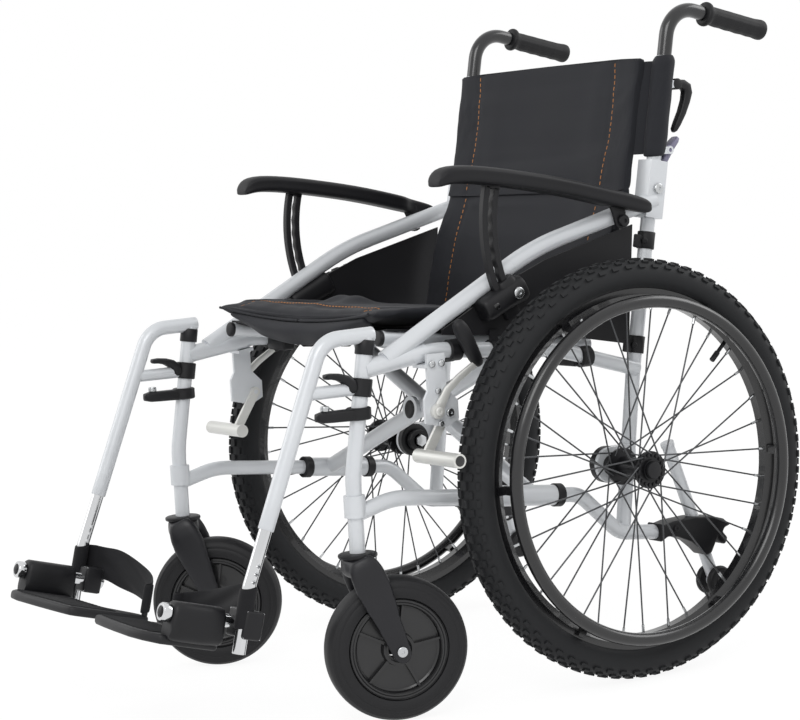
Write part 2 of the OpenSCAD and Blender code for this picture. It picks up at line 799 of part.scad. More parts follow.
latch_w = 12;
latch_t = 7;
latch_lift = 17;
latch_y = stem_y - latch_ahead;
latch_pin_d = 6;

hanger_dir = unit([0, hanger_low[0] - hanger_knee[0], hanger_low[1] - hanger_knee[1]]);
function on_hanger(z) = [hanger_low[0] + (z - hanger_low[1]) * hanger_dir[1] / hanger_dir[2], z];
ext_top = on_hanger(hanger_low[1] - hanger_dir[2] * ext_in);
ext_low = on_hanger(ext_low_z);

module hanger() {
  color("silver") difference() {
    union() {
      bent(at_x(side_x, [[post_y(hanger_top_z), hanger_top_z], hanger_knee, hanger_low]), [hanger_bend_r],
        tube_d);
      on_post(post_top_z) translate([0, 0, gap]) cylinder(d = cap_d, h = hanger_top_z - post_top_z);
      on_post(post_top_z) translate([0, 0, -pin_depth + over]) cylinder(d = pin_d, h = pin_depth);
      rod([side_x, on_hanger(stub_z)[0], stub_z], [side_x, post_y(stub_z), stub_z], stub_d);
      on_post(stub_z) cylinder(d = collar_d, h = collar_h, center = true);
      for (s = [-1, 1]) translate([side_x + s * (latch_w / 2 + latch_pin_d / 2 + gap), latch_y,
        stub_z + latch_lift / 2])
        translate([-latch_pin_d / 2, -latch_t, -latch_lift / 2]) cube([latch_pin_d, 2 * latch_t,
          latch_lift + latch_t]);
    }
    on_post(stub_z) {
      cylinder(d = tube_d + 2 * gap, h = 2 * collar_h, center = true);
      translate([-collar_d, tube_r / 2, -collar_h]) cube([2 * collar_d, collar_d, 2 * collar_h]);
    }
    translate([side_x, latch_y, stub_z + latch_lift]) pin(latch_pin_d + 2 * fit, 3 * latch_w);
    rod(ext_point(ext_top) - hanger_dir * ext_in / 2, ext_point(hanger_low) + hanger_dir * over,
      ext_d + 2 * fit);
  }
}

function ext_point(p) = [side_x, p[0], p[1]];

module hanger_latch() {
  color("black") translate([side_x, latch_y, stub_z + latch_lift]) {
    difference() {
      translate([-latch_w / 2, -latch_front, -latch_t / 2]) cube([latch_w, latch_front + latch_rear,
        latch_t]);
      pin(latch_pin_d + 2 * fit, 2 * latch_w);
    }
    translate([0, latch_t / 2 - latch_front, latch_t / 2]) pin(latch_t, latch_w);
  }
  color("silver") translate([side_x, latch_y, stub_z + latch_lift]) pin(latch_pin_d,
    latch_w + 2 * latch_pin_d);
}

module leg_extension() {
  color("gainsboro") difference() {
    union() {
      bent(at_x(side_x, [ext_top, ext_low, ext_end]), [ext_bend_r], ext_d);
      on_plate() translate([-socket_w / 2 + (side_x - hinge_x) / 2, -socket_l / 2, -socket_h / 2])
        cube([socket_w, socket_l, socket_h]);
    }
    for (s = hole_shares) translate([side_x, mix(hanger_low[0], ext_low[0], s), mix(hanger_low[1],
      ext_low[1], s)])
      pin(hole_d, tube_d);
    on_plate() rotate([plane_turn, 0, 0]) cylinder(d = pivot_d + 2 * fit, h = 2 * socket_l, center = true);
  }
}

// frame of the plate hinge, local y along the hinge tube towards the rear
module on_plate() {
  translate([hinge_x, plate_pivot[0], plate_pivot[1]]) rotate([-toe_up, 0, 0]) children();
}

module footplate_pivot() {
  color("gainsboro") on_plate() {
    translate([0, socket_l / 2, 0]) rotate([plane_turn, 0, 0]) cylinder(d = pivot_d, h = pivot_l);
    translate([0, socket_l / 2 - pivot_l, 0]) rotate([plane_turn, 0, 0]) cylinder(d = pivot_cap_d,
      h = pivot_cap_l);
    translate([0, socket_l / 2 + gap, 0]) rotate([-plane_turn, 0, 0]) cylinder(d = pivot_cap_d,
      h = pivot_cap_l / 2);
    translate([0, socket_l / 2 - over, 0]) rotate([-plane_turn, 0, 0]) cylinder(d = pivot_d, h = 2 * over);
  }
}

module footplate() {
  wide = sleeve_block_w / 2;
  color("black") on_plate() {
    difference() {
      union() {
        translate([-wide, sleeve_to, -sleeve_block_h + wide]) cube([sleeve_block_w,
          sleeve_from - sleeve_to, sleeve_block_h]);
        translate([0, 0, -plate_drop - plate_t]) linear_extrude(plate_t) polygon([
          [0, plate_rear], [-plate_reach * tail_shares[0], plate_rear],
          [-plate_reach * tail_shares[1], plate_tail], [-plate_reach, plate_tail],
          [-plate_reach, plate_inner], [-plate_reach * 3 / 4, plate_nose],
          [-plate_reach / 4, plate_front], [0, sleeve_to]]);
        for (k = [1 : plate_ribs]) translate([-plate_reach * k / (plate_ribs + 1), plate_inner + rib_t,
          -plate_drop - over])
          cube([rib_t / 2, plate_rear - plate_inner - 2 * rib_t, rib_h + over]);
        translate([post_pin_d - plate_reach, plate_tail - post_pin_d, -plate_drop - over])
          cylinder(d = post_pin_d, h = post_pin_h);
      }
      translate([0, 0, 0]) rotate([plane_turn, 0, 0]) cylinder(d = pivot_d + 2 * fit, h = 4 * pivot_l,
        center = true);
    }
  }
}

loop_t = 3;
loop_h = 44;
loop_off = 13;
loop_behind = 13;
loop_depth = 22;
loop_lift = -2;
loop_rise = 26;
// places along the loop, from its post to the leg tube, rearward and up
loop_shares = [[1, 0.5, 1], [0.9163, 0.6, 0.95], [0.7882, 0.8, 0.85], [0.6207, 0.96, 0.7],
  [0.4433, 1, 0.5], [0.2759, 0.85, 0.33], [0.1379, 0.55, 0.18], [0.0394, 0.2, 0.06], [0, 0, 0]];
loop_points = [for (s = loop_shares) [mix(hinge_x - plate_reach + post_pin_d, side_x - loop_off, s[0]),
  plate_pivot[0] + loop_behind + loop_depth * s[1], plate_pivot[1] + loop_lift + loop_rise * s[2]]];

module heel_loop() {
  n = len(loop_points) - 1;
  color("dimgray") loft([for (i = [0 : n])
    let (p = loop_points[i], u = unit(loop_points[min(n, i + 1)] - loop_points[max(0, i - 1)]),
      w = unit([u[1], -u[0], 0]) * loop_t / 2, h = [0, 0, loop_h / 2])
    [p - w - h, p + w - h, p + w + h, p - w + h]]);
}

// arm rest: padded arm on its pivot ear, curved post with the height notches
// side view points of the pad with its thickness and its inner edge, as shares
arm_line = [[-283, 734], [-277, 740], [-262, 744], [-226, 742], [-166, 734], [-80, 719], [12, 697], [32, 692],
  [62, 684], [78, 680], [84, 678]];
arm_shares = [[0.5, 1], [0.86, 1], [1, 1], [1, 1], [1, 1], [1, 1], [1, 1], [0.96, 0.1], [0.9, 0.1], [0.8,
  0.1], [0.5, 0.1]];
arm_points = 24;
arm_edge = 0.45;
ear_t = 7;
ear_d = 22;
ear_up = [30, 690];
notch_d = 6;
notch_step = 3.4;
notch_count = 4;
arm_cut_z = 900;

module arm_rest() {
  color("black") loft([for (i = [0 : len(arm_line) - 1]) [for (k = [0 : arm_points - 1])
    let (a = k * round_turn / arm_points, p = arm_line[i], thick = arm_shares[i][0], wide = arm_shares[i][1])
    [arm_x + arm_w / 4 * (1 - wide) + arm_w / 4 * (1 + wide) * (half_share + thick / 2) * sgn_pow(cos(a),
      arm_edge),
      p[0], p[1] + arm_t / 2 * thick * sgn_pow(sin(a), arm_edge)]]]);
  color("dimgray") {
    difference() {
      translate([arm_x, 0, 0]) link(arm_pivot, ear_up - [0, arm_t / 2], ear_d, ear_t);
      translate([arm_x, arm_pivot[0], arm_pivot[1]]) pin(bolt_d + 2 * fit, 2 * ear_d);
      arm_cut();
    }
    difference() {
      arm_arc(arm_post_w, arm_post_t, -arm_post_low, arm_post_low + arm_post_high);
      for (k = [0 : notch_count - 1]) translate([arm_x, arm_pivot[0], arm_pivot[1]])
        rotate([arm_post_low - notch_step * (k + 1), 0, 0])
        translate([0, -arm_post_r - arm_post_w / 2, 0]) pin(notch_d, 2 * arm_post_t);
      arm_cut();
    }
  }
}

// space of the pad, kept clear by the metal under it
module arm_cut() {
  n = len(arm_line) - 1;
  translate([arm_x - arm_w, 0, 0]) rotate([plane_turn, 0, plane_turn]) linear_extrude(2 * arm_w)
    polygon(concat([for (i = [0 : n]) [arm_line[i][0], arm_line[i][1] - arm_t / 2 * arm_shares[i][0] - gap]],
      [[arm_line[n][0], arm_cut_z], [arm_line[0][0], arm_cut_z]]));
}

// anti-tip tube and its twin wheel
tip_eye_d = 20;
tip_eye_w = 14;
tip_wheel_d = 46;
tip_wheel_w = 12;
tip_axle_d = 8;
tip_cap_d = tip_d + 2 * lap;
tip_cap_h = 6;

module antitip_tube() {
  color("gainsboro") difference() {
    union() {
      rod([side_x, tip_top[0], tip_top[1]], [side_x, tip_low[0], tip_low[1]], tip_d);
      translate([side_x, tip_low[0], tip_low[1]]) pin(tip_eye_d, tip_eye_w);
    }
    translate([side_x, tip_low[0], tip_low[1]]) pin(tip_axle_d + 2 * fit, 2 * tip_d);
    for (s = [-1, 1]) translate([side_x + s * (tip_eye_w / 2 + tip_d / 2), tip_low[0], tip_low[1]])
      pin(tip_wheel_d + over, tip_d);
  }
  color("black") translate([side_x, tip_top[0], tip_top[1]]) rotate([tip_lean, 0, 0])
    cylinder(d = tip_cap_d, h = tip_cap_h);
}

module antitip_wheel() {
  color("black") translate([side_x, tip_low[0], tip_low[1]]) {
    pin(tip_axle_d, tip_eye_w + 2 * tip_wheel_w);
    for (s = [-1, 1]) translate([s * (tip_eye_w / 2 + tip_wheel_w / 2 + gap), 0, 0]) pin(tip_wheel_d,
      tip_wheel_w);
  }
}

// back: tube on its hinge, sliding push handle with grip, clamp lever, release lever
cane_foot = 5.5;
cane_top_z = 900;
cane_bore = 17;
bore_l = 140;
clamp_z = 858;
clamp_d = tube_d + 2 * collar_wall;
clamp_h = 24;
clamp_ear = 22;
clamp_ear_w = 9;
handle_rise = 78;
handle_knee_z = cane_top_z + handle_rise;
handle_drop = 43;
handle_end = [352, handle_knee_z - handle_drop];
handle_bend_r = 46;
grip_handle_d = 31;
grip_handle_l = 118;
insert_l = 120;
lever_bar = 9;
clamp_out = [197, 848];
clamp_tip = [178, 802];
clamp_pin_d = 6;
release_z = 760;
release_ear = 19;
release_tip = [162, 778];
release_d = 12;
release_w = 16;
ear_w = 6;

handle_path = at_x(back_x, [[back_y(cane_top_z), cane_top_z], [back_y(handle_knee_z), handle_knee_z],
  handle_end]);
handle_dir = unit(handle_path[2] - handle_path[1]);
clamp_pivot = [back_y(clamp_z) + clamp_ear, clamp_z];
release_pivot = [back_y(release_z) + release_ear, release_z];

module back_cane() {
  color("silver") difference() {
    union() {
      on_back(hinge_z) translate([0, 0, -cane_foot]) cylinder(d = tube_d,
        h = cane_foot + (cane_top_z - hinge_z) / cos(back_tilt));
      on_back(clamp_z) cylinder(d = clamp_d, h = clamp_h, center = true);
      for (s = [-1, 1]) translate([back_x + s * (clamp_ear_w + gap), 0, 0])
        link([back_y(clamp_z) + tube_r, clamp_z], clamp_pivot, clamp_pin_d + 2 * fit + ear_w, ear_w);
      for (s = [-1, 1]) translate([back_x + s * (release_w / 2 + ear_w / 2 + gap), 0, 0])
        link([back_y(release_z), release_z], release_pivot, release_d, ear_w);
    }
    on_back(hinge_z) pin(hinge_bolt_d + 2 * fit, 2 * tube_d);
    on_back(cane_top_z) translate([0, 0, -bore_l]) cylinder(d = cane_bore + 2 * fit, h = bore_l + over);
    translate([back_x, clamp_pivot[0], clamp_pivot[1]]) pin(clamp_pin_d + 2 * fit, 2 * clamp_d);
    translate([back_x, release_pivot[0], release_pivot[1]]) pin(clamp_pin_d + 2 * fit, 2 * clamp_d);
  }
}

module push_handle() {
  color("black") {
    on_back(cane_top_z) translate([0, 0, -insert_l]) cylinder(d = cane_bore, h = insert_l + over);
    difference() {
      union() {
        bent(handle_path, [handle_bend_r], tube_d);
        rod(handle_path[2] - handle_dir * grip_handle_l, handle_path[2], grip_handle_d);
      }
      on_back(cane_top_z) translate([0, 0, -tube_d]) cylinder(d = 2 * tube_d, h = tube_d + gap);
    }
  }
}

module handle_clamp_lever() {
  color("black") translate([back_x, 0, 0]) {
    difference() {
      link(clamp_pivot, clamp_out, lever_bar, 2 * clamp_ear_w - ear_w);
      translate([0, clamp_pivot[0], clamp_pivot[1]]) pin(clamp_pin_d + 2 * fit, 2 * clamp_d);
    }
    link(clamp_out, clamp_tip, lever_bar - lap, 2 * clamp_ear_w - ear_w - lap);
  }
  color("silver") translate([back_x, clamp_pivot[0], clamp_pivot[1]]) pin(clamp_pin_d,
    2 * clamp_ear_w + 2 * ear_w);
}

module back_release_lever() {
  color("slategray") translate([back_x, 0, 0]) difference() {
    link(release_pivot, release_tip, release_d, release_w);
    translate([0, release_pivot[0], release_pivot[1]]) pin(clamp_pin_d + 2 * fit, 2 * clamp_d);
  }
  color("silver") translate([back_x, release_pivot[0], release_pivot[1]]) pin(clamp_pin_d,
    release_w + 2 * ear_w);
}

// cross brace: one tube, its sleeve on a lower rail and its seat rail
brace_d = 25;
sleeve_l = 118;
brace_offset = 14;
brace_turn = atan2(rail_rise, side_x + rail_x) - atan2(rail_standoff, brace_l());
rail_front = -226;
rail_rear = 136;
brace_cap_d = 40;
brace_cap_t = 6;
brace_bolt_d = 12;

function brace_l() = sqrt(pow(side_x + rail_x, 2) + pow(rail_rise, 2) - pow(rail_standoff, 2));
brace_mid = side_x * tan(brace_turn);

// brace whose sleeve is on the +x rail; its tube lies at offset o along the fold axes
module brace(o) {
  foot = [side_x, o, 0];
  tip = foot + brace_l() * [-cos(brace_turn), 0, sin(brace_turn)];
  on_fold() difference() {
    union() {
      rod(foot, tip, brace_d);
      rod(tip, [-rail_x, o, rail_rise], brace_d);
      translate([side_x, sleeve_l / 2, 0]) rotate([plane_turn, 0, 0]) cylinder(d = brace_sleeve_d,
        h = sleeve_l);
      translate([-rail_x, rail_rear, rail_rise]) rotate([plane_turn, 0, 0]) cylinder(d = tube_d,
        h = rail_rear - rail_front);
    }
    translate([side_x, 0, 0]) rotate([plane_turn, 0, 0]) cylinder(d = tube_d + 2 * fit, h = 2 * sleeve_l,
      center = true);
    translate([0, 0, brace_mid]) rotate([plane_turn, 0, 0]) cylinder(d = brace_bolt_d + 2 * fit,
      h = 4 * brace_d, center = true);
  }
}

module brace_rear() {
  color("silver") brace(brace_offset);
}

module brace_front() {
  color("silver") mirror([1, 0, 0]) brace(-brace_offset);
  color("black") on_fold() translate([0, 0, brace_mid]) rotate([plane_turn, 0, 0]) {
    cylinder(d = brace_bolt_d, h = 2 * brace_offset + brace_d, center = true);
    for (s = [-1, 1]) translate([0, 0, s * (brace_offset + brace_d / 2 + brace_cap_t / 2)])
      cylinder(d = brace_cap_d, h = brace_cap_t, center = true);
  }
}

// seat: sling between the rails and the quilted cushion on it, both laid along the tilt
sling_t = 4;
sling_front = -222;
sling_rear = 132;
cushion_front = -242;
cushion_rear = 128;
cushion_seat = 3;
cushion_lift = tube_r + cushion_seat;
cushion_row_shares = [0, 0.012, 0.04, 0.09, 0.2, 0.35, 0.5, 0.65, 0.8, 0.91, 0.96, 0.988, 1];
cushion_cols = 40;
cushion_edge = 0.3;
cushion_crown = 7;
channel_shares = [-0.72, 0.72];
channel_w_share = 0.035;
cushion_waist_share = 0.97;
cushion_lip_share = 0.25;
cushion_square = 6;
channel_depth = 3.5;

module seat_sling() {
  color("dimgray") on_fold() translate([0, 0, rail_rise + tube_r + gap])
    translate([-rail_x - tube_r, sling_front, 0]) cube([2 * rail_x + 2 * tube_r, sling_rear - sling_front,
      sling_t - 2 * gap]);
}

module seat_cushion() {
  color("dimgray") on_fold() translate([0, 0, rail_rise + cushion_lift + sling_t])
    loft([for (v = cushion_row_shares)
      let (e = pow(max(0, 1 - pow(abs(2 * v - 1), cushion_square)), cushion_edge), y = mix(cushion_front,
        cushion_rear, v))
      [for (k = [0 : cushion_cols - 1])
        let (a = k * round_turn / cushion_cols, c = sgn_pow(cos(a), cushion_edge), s = sgn_pow(sin(a),
          cushion_edge),
          dip = s > half_share ? max([for (x = channel_shares) exp(-pow((c - x) / channel_w_share, 2))]) : 0,
          t = s > 0 ? cushion_crown * (1 - c * c) * e : 0)
        [cushion_w / 2 * c * mix(cushion_waist_share, 1, e), y,
          cushion_t / 2 * (1 + s * mix(cushion_lip_share, 1, e)) + t - dip * channel_depth * e]]]);
}

// back cover: padded upper part on the folding tubes and lower part on the side frames
cover_side = 15;
neck_side = 28;
cover_w = 2 * (side_x - cover_side);
cover_neck_w = 2 * (side_x - neck_side);
cover_cols = 32;
cover_edge = 0.32;
upper_rows = [[712, 43, 22, 0], [718, 44, 26, 0], [735, 44, 28, 0], [756, 44, 28, 0], [768, 44, 28, 1],
  [780, 43, 28, 1],
  [830, 42, 28, 1], [880, 41, 28, 1], [898, 41, 26, 1], [905, 41, 20, 1]];
lower_rows = [[512, 67, 14, 1], [517, 67, 20, 1], [530, 67, 24, 1], [580, 68, 28, 1], [640, 62, 30, 1],
  [672, 56, 30, 1],
  [684, 53, 30, 0], [700, 49, 28, 0], [706, 47, 22, 0]];
cover_bow = 8;
pocket_wall = 3;
pocket_d = tube_d + 2 * pocket_wall;
pocket_low = 798;
pocket_mid = 838;

module cover(rows) {
  loft([for (r = rows) [for (k = [cover_cols : -1 : 1])
    let (a = k * round_turn / cover_cols, c = sgn_pow(cos(a), cover_edge), s = sgn_pow(sin(a), cover_edge),
      mid = back_y(r[0]) - r[1] + r[2] / 2)
    [mix(cover_neck_w, cover_w, r[3]) / 2 * c, mid + r[2] / 2 * s + cover_bow * (1 - c * c), r[0]]]]);
}

module back_upper() {
  color("dimgray") {
    cover(upper_rows);
    for (m = [0, 1]) mirror([m, 0, 0]) difference() {
      on_back(pocket_low) cylinder(d = pocket_d, h = (pocket_mid - pocket_low) / cos(back_tilt));
      on_back(pocket_low) translate([0, 0, -over]) cylinder(d = tube_d + 2 * fit,
        h = pocket_mid - pocket_low + 4 * over);
    }
  }
}

module back_lower() {
  color("dimgray") cover(lower_rows);
}

SIDE_NODES = ["side_frame", "side_guard", "frame_fittings", "frame_hardware", "brake_bracket", "brake_lever",
  "brake_shoe", "tyre", "rim", "spokes", "hub", "handrim", "castor_fork", "castor_wheel", "hanger",
    "hanger_latch",
  "leg_extension", "footplate_pivot", "footplate", "heel_loop", "arm_rest", "antitip_tube", "antitip_wheel",
  "back_cane", "push_handle", "handle_clamp_lever", "back_release_lever"];
MID_NODES = ["brace_front", "brace_rear", "seat_sling", "seat_cushion", "back_upper", "back_lower"];
NODES = concat([for (s = ["left", "right"]) for (n = SIDE_NODES) str(s, "_", n)], MID_NODES);
node = "all";

function wanted(name) = node == "all" || node == name;

// shift to the shared origin; a right hand piece is the mirror of the left one
module placed(side) {
  translate([0, -origin_y, 0]) mirror([side == "right" ? 1 : 0, 0, 0]) children();
}

for (side = ["left", "right"]) placed(side) {
  turn = side == "left" ? turn_left : -turn_right;
  if (wanted(str(side, "_side_frame"))) side_frame();
  if (wanted(str(side, "_side_guard"))) side_guard();
  if (wanted(str(side, "_frame_fittings"))) frame_fittings();
  if (wanted(str(side, "_frame_hardware"))) frame_hardware();
  if (wanted(str(side, "_brake_bracket"))) brake_bracket();
  if (wanted(str(side, "_brake_lever"))) brake_lever();
  if (wanted(str(side, "_brake_shoe"))) brake_shoe();
  if (wanted(str(side, "_tyre"))) tyre();
  if (wanted(str(side, "_rim"))) rim();
  if (wanted(str(side, "_spokes"))) spokes();
  if (wanted(str(side, "_hub"))) hub();
  if (wanted(str(side, "_handrim"))) handrim();
  if (wanted(str(side, "_castor_fork"))) castor_fork(turn);
  if (wanted(str(side, "_castor_wheel"))) castor_wheel(turn);
  if (wanted(str(side, "_hanger"))) hanger();
  if (wanted(str(side, "_hanger_latch"))) hanger_latch();
  if (wanted(str(side, "_leg_extension"))) leg_extension();
  if (wanted(str(side, "_footplate_pivot"))) footplate_pivot();
  if (wanted(str(side, "_footplate"))) footplate();
  if (wanted(str(side, "_heel_loop"))) heel_loop();
  if (wanted(str(side, "_arm_rest"))) arm_rest();
  if (wanted(str(side, "_antitip_tube"))) antitip_tube();
  if (wanted(str(side, "_antitip_wheel"))) antitip_wheel();
  if (wanted(str(side, "_back_cane"))) back_cane();
  if (wanted(str(side, "_push_handle"))) push_handle();
  if (wanted(str(side, "_handle_clamp_lever"))) handle_clamp_lever();
  if (wanted(str(side, "_back_release_lever"))) back_release_lever();
}
placed("left") {
  if (wanted("brace_front")) brace_front();
  if (wanted("brace_rear")) brace_rear();
  if (wanted("seat_sling")) seat_sling();
  if (wanted("seat_cushion")) seat_cushion();
  if (wanted("back_upper")) back_upper();
  if (wanted("back_lower")) back_lower();
}
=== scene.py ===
import math
import bpy
from mathutils import Vector, Matrix


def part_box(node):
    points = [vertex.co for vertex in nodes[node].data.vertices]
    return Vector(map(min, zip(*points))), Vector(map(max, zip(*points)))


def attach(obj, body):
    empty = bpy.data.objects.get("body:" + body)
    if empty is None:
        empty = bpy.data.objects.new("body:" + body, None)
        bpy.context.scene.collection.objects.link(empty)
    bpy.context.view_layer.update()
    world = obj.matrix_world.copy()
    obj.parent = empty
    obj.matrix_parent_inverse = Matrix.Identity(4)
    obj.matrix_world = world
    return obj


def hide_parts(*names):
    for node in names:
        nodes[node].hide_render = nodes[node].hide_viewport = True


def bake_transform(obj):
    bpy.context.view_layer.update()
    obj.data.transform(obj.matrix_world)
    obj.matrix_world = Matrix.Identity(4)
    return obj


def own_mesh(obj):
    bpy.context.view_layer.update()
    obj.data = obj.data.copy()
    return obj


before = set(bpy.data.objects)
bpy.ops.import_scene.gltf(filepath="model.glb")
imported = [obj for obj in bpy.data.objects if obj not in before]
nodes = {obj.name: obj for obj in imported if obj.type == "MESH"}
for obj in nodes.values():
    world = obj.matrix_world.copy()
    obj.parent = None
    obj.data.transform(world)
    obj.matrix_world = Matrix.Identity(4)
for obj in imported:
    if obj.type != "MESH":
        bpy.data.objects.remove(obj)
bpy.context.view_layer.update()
sides = {"left": 1, "right": -1}
axleY = 0.195  # rear axle, behind the shared origin
print("frame loaded:", len(nodes), "nodes")


# camera and studio

view = {"place": (2.9235, -1.8211, 0.7615), "azimuth": 56.099, "elevation": 3.6646, "roll": -3.2716,
        "focalPixels": 2281.26, "imageWidth": 800, "sensor": 36.0, "shift": (-0.0855, -0.0664)}

az, el, roll = (math.radians(view[k]) for k in ("azimuth", "elevation", "roll"))
back = Vector((math.sin(az) * math.cos(el), -math.cos(az) * math.cos(el), math.sin(el)))
right = (-back).cross(Vector((0, 0, 1))).normalized()
up = right.cross(-back)
camRight = right * math.cos(roll) + up * math.sin(roll)
camUp = up * math.cos(roll) - right * math.sin(roll)
bpy.ops.object.select_all(action="DESELECT")
bpy.ops.object.camera_add()
camera = bpy.context.object
camera.name = "photoCamera"
camera.matrix_world = Matrix((camRight, camUp, back)).transposed().to_4x4()
camera.location = view["place"]
camera.data.sensor_width = view["sensor"]
camera.data.lens = view["focalPixels"] * view["sensor"] / view["imageWidth"]
camera.data.shift_x, camera.data.shift_y = view["shift"]
bpy.context.scene.camera = camera

studio = {"floorSize": 30, "skyStrength": 0.62, "floorGlow": 0.86, "glowStrength": 1.06,
          "lamps": [((2.6, -2.2, 3.0), 2.2, 58), ((-2.6, -2.6, 2.2), 2.4, 30), ((1.2, 3.0, 2.6), 2.0, 34)]}

bpy.ops.mesh.primitive_plane_add(size=studio["floorSize"])
floor = bpy.context.object
floor.name = "studioFloor"
for place, size, power in studio["lamps"]:
    bpy.ops.object.light_add(type="AREA", location=place)
    lamp = bpy.context.object
    lamp.data.size = size
    lamp.data.energy = power
    lamp.rotation_euler = (Vector((0, 0, 0.45)) - Vector(place)).to_track_quat("-Z", "Y").to_euler()
bpy.context.scene.view_settings.view_transform = "Standard"


# materials

def linear(code):  # hex code to the linear colour that a shader takes
    parts = [int(code[i:i + 2], 16) / 255 for i in (1, 3, 5)]
    return tuple(c / 12.92 if c <= 0.04045 else ((c + 0.055) / 1.055) ** 2.4 for c in parts) + (1.0,)


def put(tree, kind, sockets=None, **settings):  # adds a node, sets it and links it
    made = tree.nodes.new(kind)
    for key, value in settings.items():
        setattr(made, key, value)
    for key, value in (sockets or {}).items():
        if isinstance(value, bpy.types.NodeSocket):
            tree.links.new(value, made.inputs[key])
        else:
            made.inputs[key].default_value = value
    return made


def newMaterial(name):
    made = bpy.data.materials.new(name)
    made.use_nodes = True
    tree = made.node_tree
    return made, tree, tree.nodes["Principled BSDF"]


def finishMaterial(name, dark, light, rough, grainMm, bump, metal=0.0, ior=1.5, coat=0.0, roughSpread=0.08,
                   sheen=0.0, gleam=0.5):
    # colour and gloss vary over grains of the given size, and the same grains lift the surface
    made, tree, shader = newMaterial(name)
    place = put(tree, "ShaderNodeTexCoord")
    grain = put(tree, "ShaderNodeTexNoise", {"Vector": place.outputs["Object"], "Scale": 1000 / grainMm,
                                             "Detail": 4.0})
    broad = put(tree, "ShaderNodeTexNoise", {"Vector": place.outputs["Object"], "Scale": 14.0, "Detail": 3.0})
    tint = put(tree, "ShaderNodeMix", {"Factor": broad.outputs["Fac"], "A": linear(dark),
                                       "B": linear(light)}, data_type="RGBA")
    gloss = put(tree, "ShaderNodeMapRange", {"Value": broad.outputs["Fac"], "To Min": rough - roughSpread,
                                             "To Max": rough + roughSpread})
    lift = put(tree, "ShaderNodeBump", {"Height": grain.outputs["Fac"], "Strength": bump,
                                        "Distance": grainMm / 4000})
    tree.links.new(tint.outputs["Result"], shader.inputs["Base Color"])
    tree.links.new(gloss.outputs["Result"], shader.inputs["Roughness"])
    tree.links.new(lift.outputs["Normal"], shader.inputs["Normal"])
    shader.inputs["Metallic"].default_value = metal
    shader.inputs["IOR"].default_value = ior
    shader.inputs["Coat Weight"].default_value = coat
    shader.inputs["Sheen Weight"].default_value = sheen
    shader.inputs["Specular IOR Level"].default_value = gleam
    return made


finishes = {
    # satin powder coat: fine orange peel, pale silver grey
    "framePaint": finishMaterial("powderCoatSilver", "#CFD2D6", "#D9DCDF", 0.34, 2.2, 0.10, metal=0.12,
                                 coat=0.2),
    # polypropylene mouldings: fine spark-eroded grain, soft highlight
    "blackPlastic": finishMaterial("mouldedPolypropylene", "#141416", "#1B1B1E", 0.46, 0.9, 0.22, gleam=0.3),
    "guardSheet": finishMaterial("grainedAbsSheet", "#161618", "#1C1C1F", 0.52, 1.6, 0.30, gleam=0.26),
    # zinc-plated steel: bright with faint streaks
    "brightSteel": finishMaterial("zincPlatedSteel", "#B9BBBD", "#C9CBCC", 0.27, 1.2, 0.06, metal=1.0),
    # chromed tube: mirror bright
    "chromeTube": finishMaterial("chromedSteel", "#C9CACC", "#D9DADB", 0.12, 3.0, 0.03, metal=1.0,
                                 roughSpread=0.04),
    "tyreRubber": finishMaterial("vulcanisedTyreRubber", "#17181A", "#1F2022", 0.68, 0.8, 0.35, gleam=0.3),
    "rimCoat": finishMaterial("glossBlackRimPaint", "#0E0E10", "#141416", 0.24, 3.0, 0.05, coat=0.4),
    "spokeSteel": finishMaterial("darkSpokeWire", "#4A4B4D", "#5B5C5E", 0.34, 1.0, 0.05, metal=1.0),
    "hubCoat": finishMaterial("blackAnodisedHub", "#151517", "#1C1C1F", 0.34, 1.2, 0.10, metal=0.3,
                              gleam=0.4),
    "handrimCoat": finishMaterial("plasticCoatedHandrim", "#101012", "#161618", 0.26, 2.0, 0.08, coat=0.3),
    "forkCoat": finishMaterial("blackForkCoat", "#1A1A1D", "#222226", 0.40, 1.6, 0.16, gleam=0.34),
    "castorRubber": finishMaterial("castorRubber", "#19191B", "#202022", 0.55, 1.2, 0.20, gleam=0.3),
    "platePlastic": finishMaterial("ribbedPlatePlastic", "#161618", "#1D1D20", 0.50, 1.0, 0.25, gleam=0.34),
    "padFoam": finishMaterial("skinnedPolyurethane", "#161618", "#1D1D20", 0.50, 1.1, 0.30, gleam=0.24),
    "gripRubber": finishMaterial("gripRubber", "#151517", "#1B1B1D", 0.55, 0.8, 0.25, gleam=0.3),
    "handleTube": finishMaterial("glossBlackTube", "#0F0F11", "#151518", 0.22, 3.0, 0.05, coat=0.4),
    "leverPaint": finishMaterial("clearLacqueredSteel", "#D3D3CF", "#DEDEDA", 0.36, 1.6, 0.10, metal=0.3,
                                 coat=0.2),
    "leverGrey": finishMaterial("greyNylonLever", "#77748A", "#817E94", 0.42, 1.0, 0.18),
    "webbing": finishMaterial("wovenNylonTape", "#151517", "#1D1D20", 0.74, 1.4, 0.45, sheen=0.05, gleam=0.2),
    "castorCore": finishMaterial("glossyWheelPlastic", "#121214", "#18181A", 0.32, 1.4, 0.08, coat=0.2),
    "thread": finishMaterial("orangeThread", "#A2662F", "#B4783E", 0.62, 0.6, 0.4),
    "cloth": finishMaterial("charcoalNylonCloth", "#1D1E22", "#27282D", 0.72, 1.1, 0.40, sheen=0.06,
                            gleam=0.22),
}

